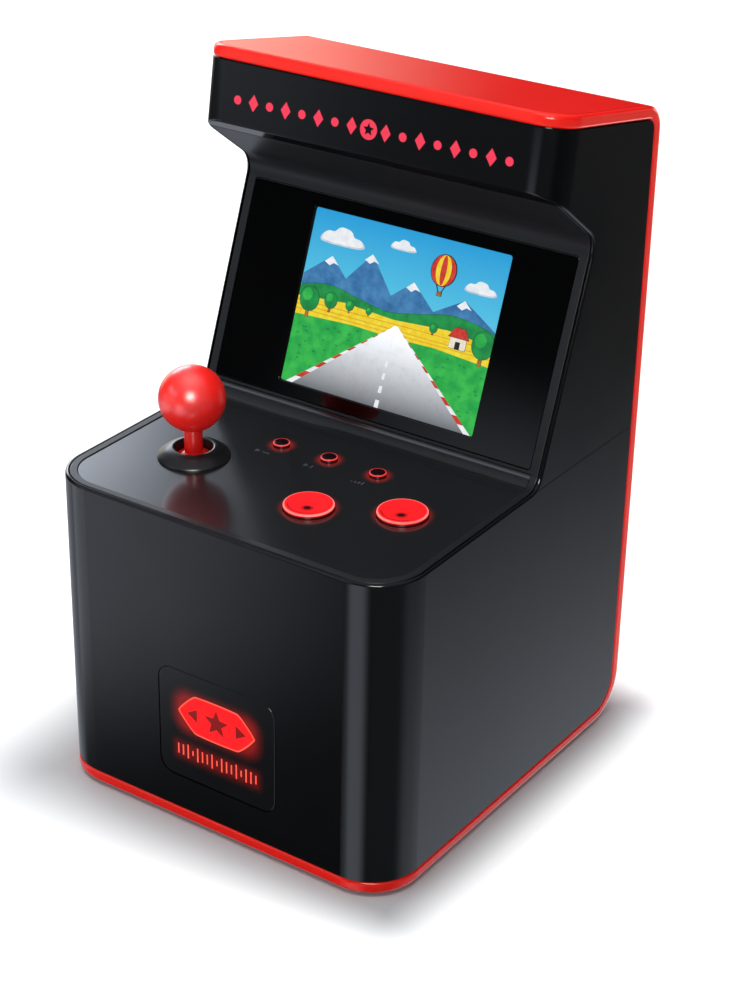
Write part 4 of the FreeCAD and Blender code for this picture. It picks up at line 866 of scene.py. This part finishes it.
# ---- studio ------------------------------------------------------------------------------------
def stage_mesh(name, verts, faces, material, **visible):
    mesh = bpy.data.meshes.new(name)
    mesh.from_pydata(verts, [], faces)
    mesh.materials.append(material)
    thing = bpy.data.objects.new(name, mesh)
    bpy.context.scene.collection.objects.link(thing)
    for key, value in visible.items():
        setattr(thing, key, value)
    return thing


# The floor glows white, less so close to the cabinet, which paints a shadow round its base: the
# painted shadow reaches SHADE_LEFT mm out on the left and SHADE_RIGHT mm on the right.
SHADE_LEFT, SHADE_RIGHT = 32.0, 15.0
floor_shade = Shade("studio_floor", Base_Color=(0.42, 0.42, 0.423, 1.0), Specular_IOR_Level=0.0)
outside = floor_shade.away((cad_low + cad_high) / 2, (cad_high - cad_low) / 2)
across = floor_shade.add("ShaderNodeSeparateXYZ", {0: floor_shade.place}).outputs["X"]
share = floor_shade.math("DIVIDE", outside, floor_shade.span(
    across, SHADE_LEFT, SHADE_RIGHT, cad_low.x, cad_high.x))
# painted shadow: the floor's glow dims towards the cabinet's footprint
floor_shade.set(Roughness=floor_shade.span(floor_shade.noise(30.0), 0.75, 0.9),
                Emission_Color=(1, 1, 1, 1),
                Emission_Strength=floor_shade.span(share, 0.0, 0.86, -0.1, 1.0, "SMOOTHSTEP"))
REACH, base = 4.0, cad_low.z            # half width of the floor and radius of the backdrop
stage_mesh("floor", [(x, y, base) for x, y in rect(-REACH, -REACH, REACH, REACH)], [(0, 1, 2, 3)],
           floor_shade.material, visible_glossy=False)

backdrop_shade = Shade("studio_backdrop", Base_Color=(0.0, 0.0, 0.0, 1.0), Roughness=1.0,
                       Emission_Color=(1.0, 1.0, 1.0, 1.0), Emission_Strength=1.02)
WALL_SIDES, WALL_BELOW, WALL_TOP = 48, 1.0, 3.0
wall = [(*corner, z) for z in (base - WALL_BELOW, WALL_TOP)
        for corner in oval(0.0, 0.0, REACH, count=WALL_SIDES)]
stage_mesh("backdrop", wall,
           [(i, (i + 1) % WALL_SIDES, WALL_SIDES + (i + 1) % WALL_SIDES, WALL_SIDES + i)
            for i in range(WALL_SIDES)],
           backdrop_shade.material, visible_glossy=False, visible_diffuse=False,
           visible_shadow=False)


def softbox(name, place, target, size, radiance, colour=(1.0, 1.0, 1.0), **seen):
    """Rectangular lamp of a given radiance."""
    lamp = bpy.data.lights.new(name, "AREA")
    lamp.shape = "RECTANGLE"
    lamp.size, lamp.size_y = size
    lamp.energy = math.pi * size[0] * size[1] * radiance
    lamp.color = colour
    thing = bpy.data.objects.new(name, lamp)
    thing.location = place
    thing.rotation_euler = (Vector(target) - Vector(place)).to_track_quat("-Z", "Y").to_euler()
    for key, value in seen.items():
        setattr(thing, key, value)
    bpy.context.scene.collection.objects.link(thing)


middle = (cad_low + cad_high) / 2
above = (-0.06, -0.05, 0.95)
key = middle + TOWARD_CAMERA * 1.1
key_shift = Vector((-0.06, -0.03, 0.08))      # its gleam is set a little higher and to the left
softbox("overhead", above, middle, (0.66, 0.66), 6.0, visible_glossy=False)
softbox("overhead_sheen", above, middle, (0.66, 0.66), 3.2, visible_diffuse=False)
softbox("key", key, middle, (0.34, 0.34), 5.0)
softbox("key_sheen", key + key_shift, middle, (0.42, 0.42), 15.0, (1.0, 0.92, 0.86),
        visible_diffuse=False)
softbox("low_fill", (-0.55, -0.60, 0.16), middle, (0.5, 0.3), 3.0, visible_glossy=False)

# The room's reflections: soft cards as azimuth span, elevation span, edge widths, level and tint.
# Azimuth is 0 straight in front and grows to the player's right; both are in degrees.
COOL, WARM = (0.90, 0.975, 1.11), (1.06, 0.97, 0.80)
ROOM = (0.019, 0.020, 0.021)            # what shows between the cards
CARDS = [
    ((-80, -37.7), (-31.8, -12), (6, 1.9), 0.98, COOL),       # front, brighter at the upper left
    ((-175, -80), (-75, -20), (10, 5), 0.45, COOL),           # left edges
    ((-23, 14), (-75, -16), (11, 4), 1.22, COOL),             # strip down the right front corner
    ((22, 105), (-75, -20), (12, 6), 0.10, COOL),             # right of that strip
    ((96, 175), (-80, -30.5), (16, 9), 0.62, COOL),           # side face, brighter below and behind
    ((150.5, 175), (-80, -30.5), (3, 9), 0.34, COOL),         # side face, its back edge
    ((96, 175), (-30.5, 6), (16, 9), 0.03, COOL),             # side face, its upper part
    ((161.0, 181), (-38, 4), (2.5, 8), 3.0, WARM),            # red edge of the side
    ((-181, -165), (-34, -6), (6, 4), 3.0, WARM),             # the same, past 180 degrees
    ((-15, 8), (-18, -3), (7, 3), 1.8, COOL),                 # right front corner of the marquee
    ((-31, -12), (3, 10.8), (4, 1.6), 0.55, COOL),            # lower right of the lens
    ((-75, -34.2), (-3.8, 3), (2.5, 2.0), 0.45, COOL),        # marquee
    ((-90, 60), (-14, 0.5), (10, 2), 0.07, COOL),             # faint band at the horizon
    ((-66, -20), (20, 29), (6, 2.4), 2.2, COOL),              # bright lines on upper edges
    ((-138.4, -112), (13, 28.4), (3.0, 1.3), 6.2, COOL),      # left of the deck
    ((-145, -105), (-10, 12), (6, 4), 1.60, WARM),            # roof
    ((-178, -100), (14, 60), (12, 8), 0.14, COOL),            # the rest of the deck
    ((-181, 181), (40, 90), (5, 20), 0.35, COOL),             # ceiling
    ((40, 100), (5, 38), (20, 12), 0.25, COOL),               # right, above the horizon
]


def studio_world():
    world = bpy.data.worlds.new("studio")
    world.use_nodes = True
    tree = Tree(world.node_tree)
    direction = tree.add("ShaderNodeTexCoord").outputs["Generated"]
    split = tree.add("ShaderNodeSeparateXYZ", {0: direction})
    forward = tree.math("MULTIPLY", split.outputs["Y"], -1.0)
    azimuth, elevation = (tree.math("MULTIPLY", angle, math.degrees(1.0)) for angle in (
        tree.math("ARCTAN2", split.outputs["X"], forward),
        tree.math("ARCSINE", split.outputs["Z"])))
    total = ROOM
    for across, upright, edges, level, tint in CARDS:
        card = level
        for angle, (low, high), edge in zip((azimuth, elevation), (across, upright), edges):
            if low > -180:
                rise = tree.span(angle, 0.0, 1.0, low - edge, low + edge, "SMOOTHSTEP")
                card = tree.math("MULTIPLY", card, rise)
            if high < 180:
                fall = tree.span(angle, 1.0, 0.0, high - edge, high + edge, "SMOOTHSTEP")
                card = tree.math("MULTIPLY", card, fall)
        card = tree.add("ShaderNodeVectorMath", {0: tint, "Scale": card}, operation="SCALE")
        total = tree.add("ShaderNodeVectorMath", {0: total, 1: card.outputs[0]},
                         operation="ADD").outputs[0]
    background = tree.nodes["Background"]
    tree.plug(background.inputs["Color"], total)
    background.inputs["Strength"].default_value = 1.0
    bpy.context.scene.world = world


studio_world()
bpy.context.scene.view_settings.view_transform = "Standard"
bpy.context.scene.view_settings.look = "None"


# ---- camera ------------------------------------------------------------------------------------
EYE = Vector((0.23251, -0.33322, 0.26520))
ROLL = math.radians(1.05)
level_right = Vector((0, 0, 1)).cross(TOWARD_CAMERA).normalized()
level_up = TOWARD_CAMERA.cross(level_right)
right = level_right * math.cos(ROLL) + level_up * math.sin(ROLL)
up = level_up * math.cos(ROLL) - level_right * math.sin(ROLL)
camera_data = bpy.data.cameras.new("camera")
camera_data.lens, camera_data.sensor_width = 78.87, 36.0
camera_data.clip_start, camera_data.clip_end = 0.01, 20.0
camera = bpy.data.objects.new("camera", camera_data)
turn = Matrix((right, up, TOWARD_CAMERA)).transposed().to_4x4()
camera.matrix_world = Matrix.Translation(EYE) @ turn
bpy.context.scene.collection.objects.link(camera)
bpy.context.scene.camera = camera
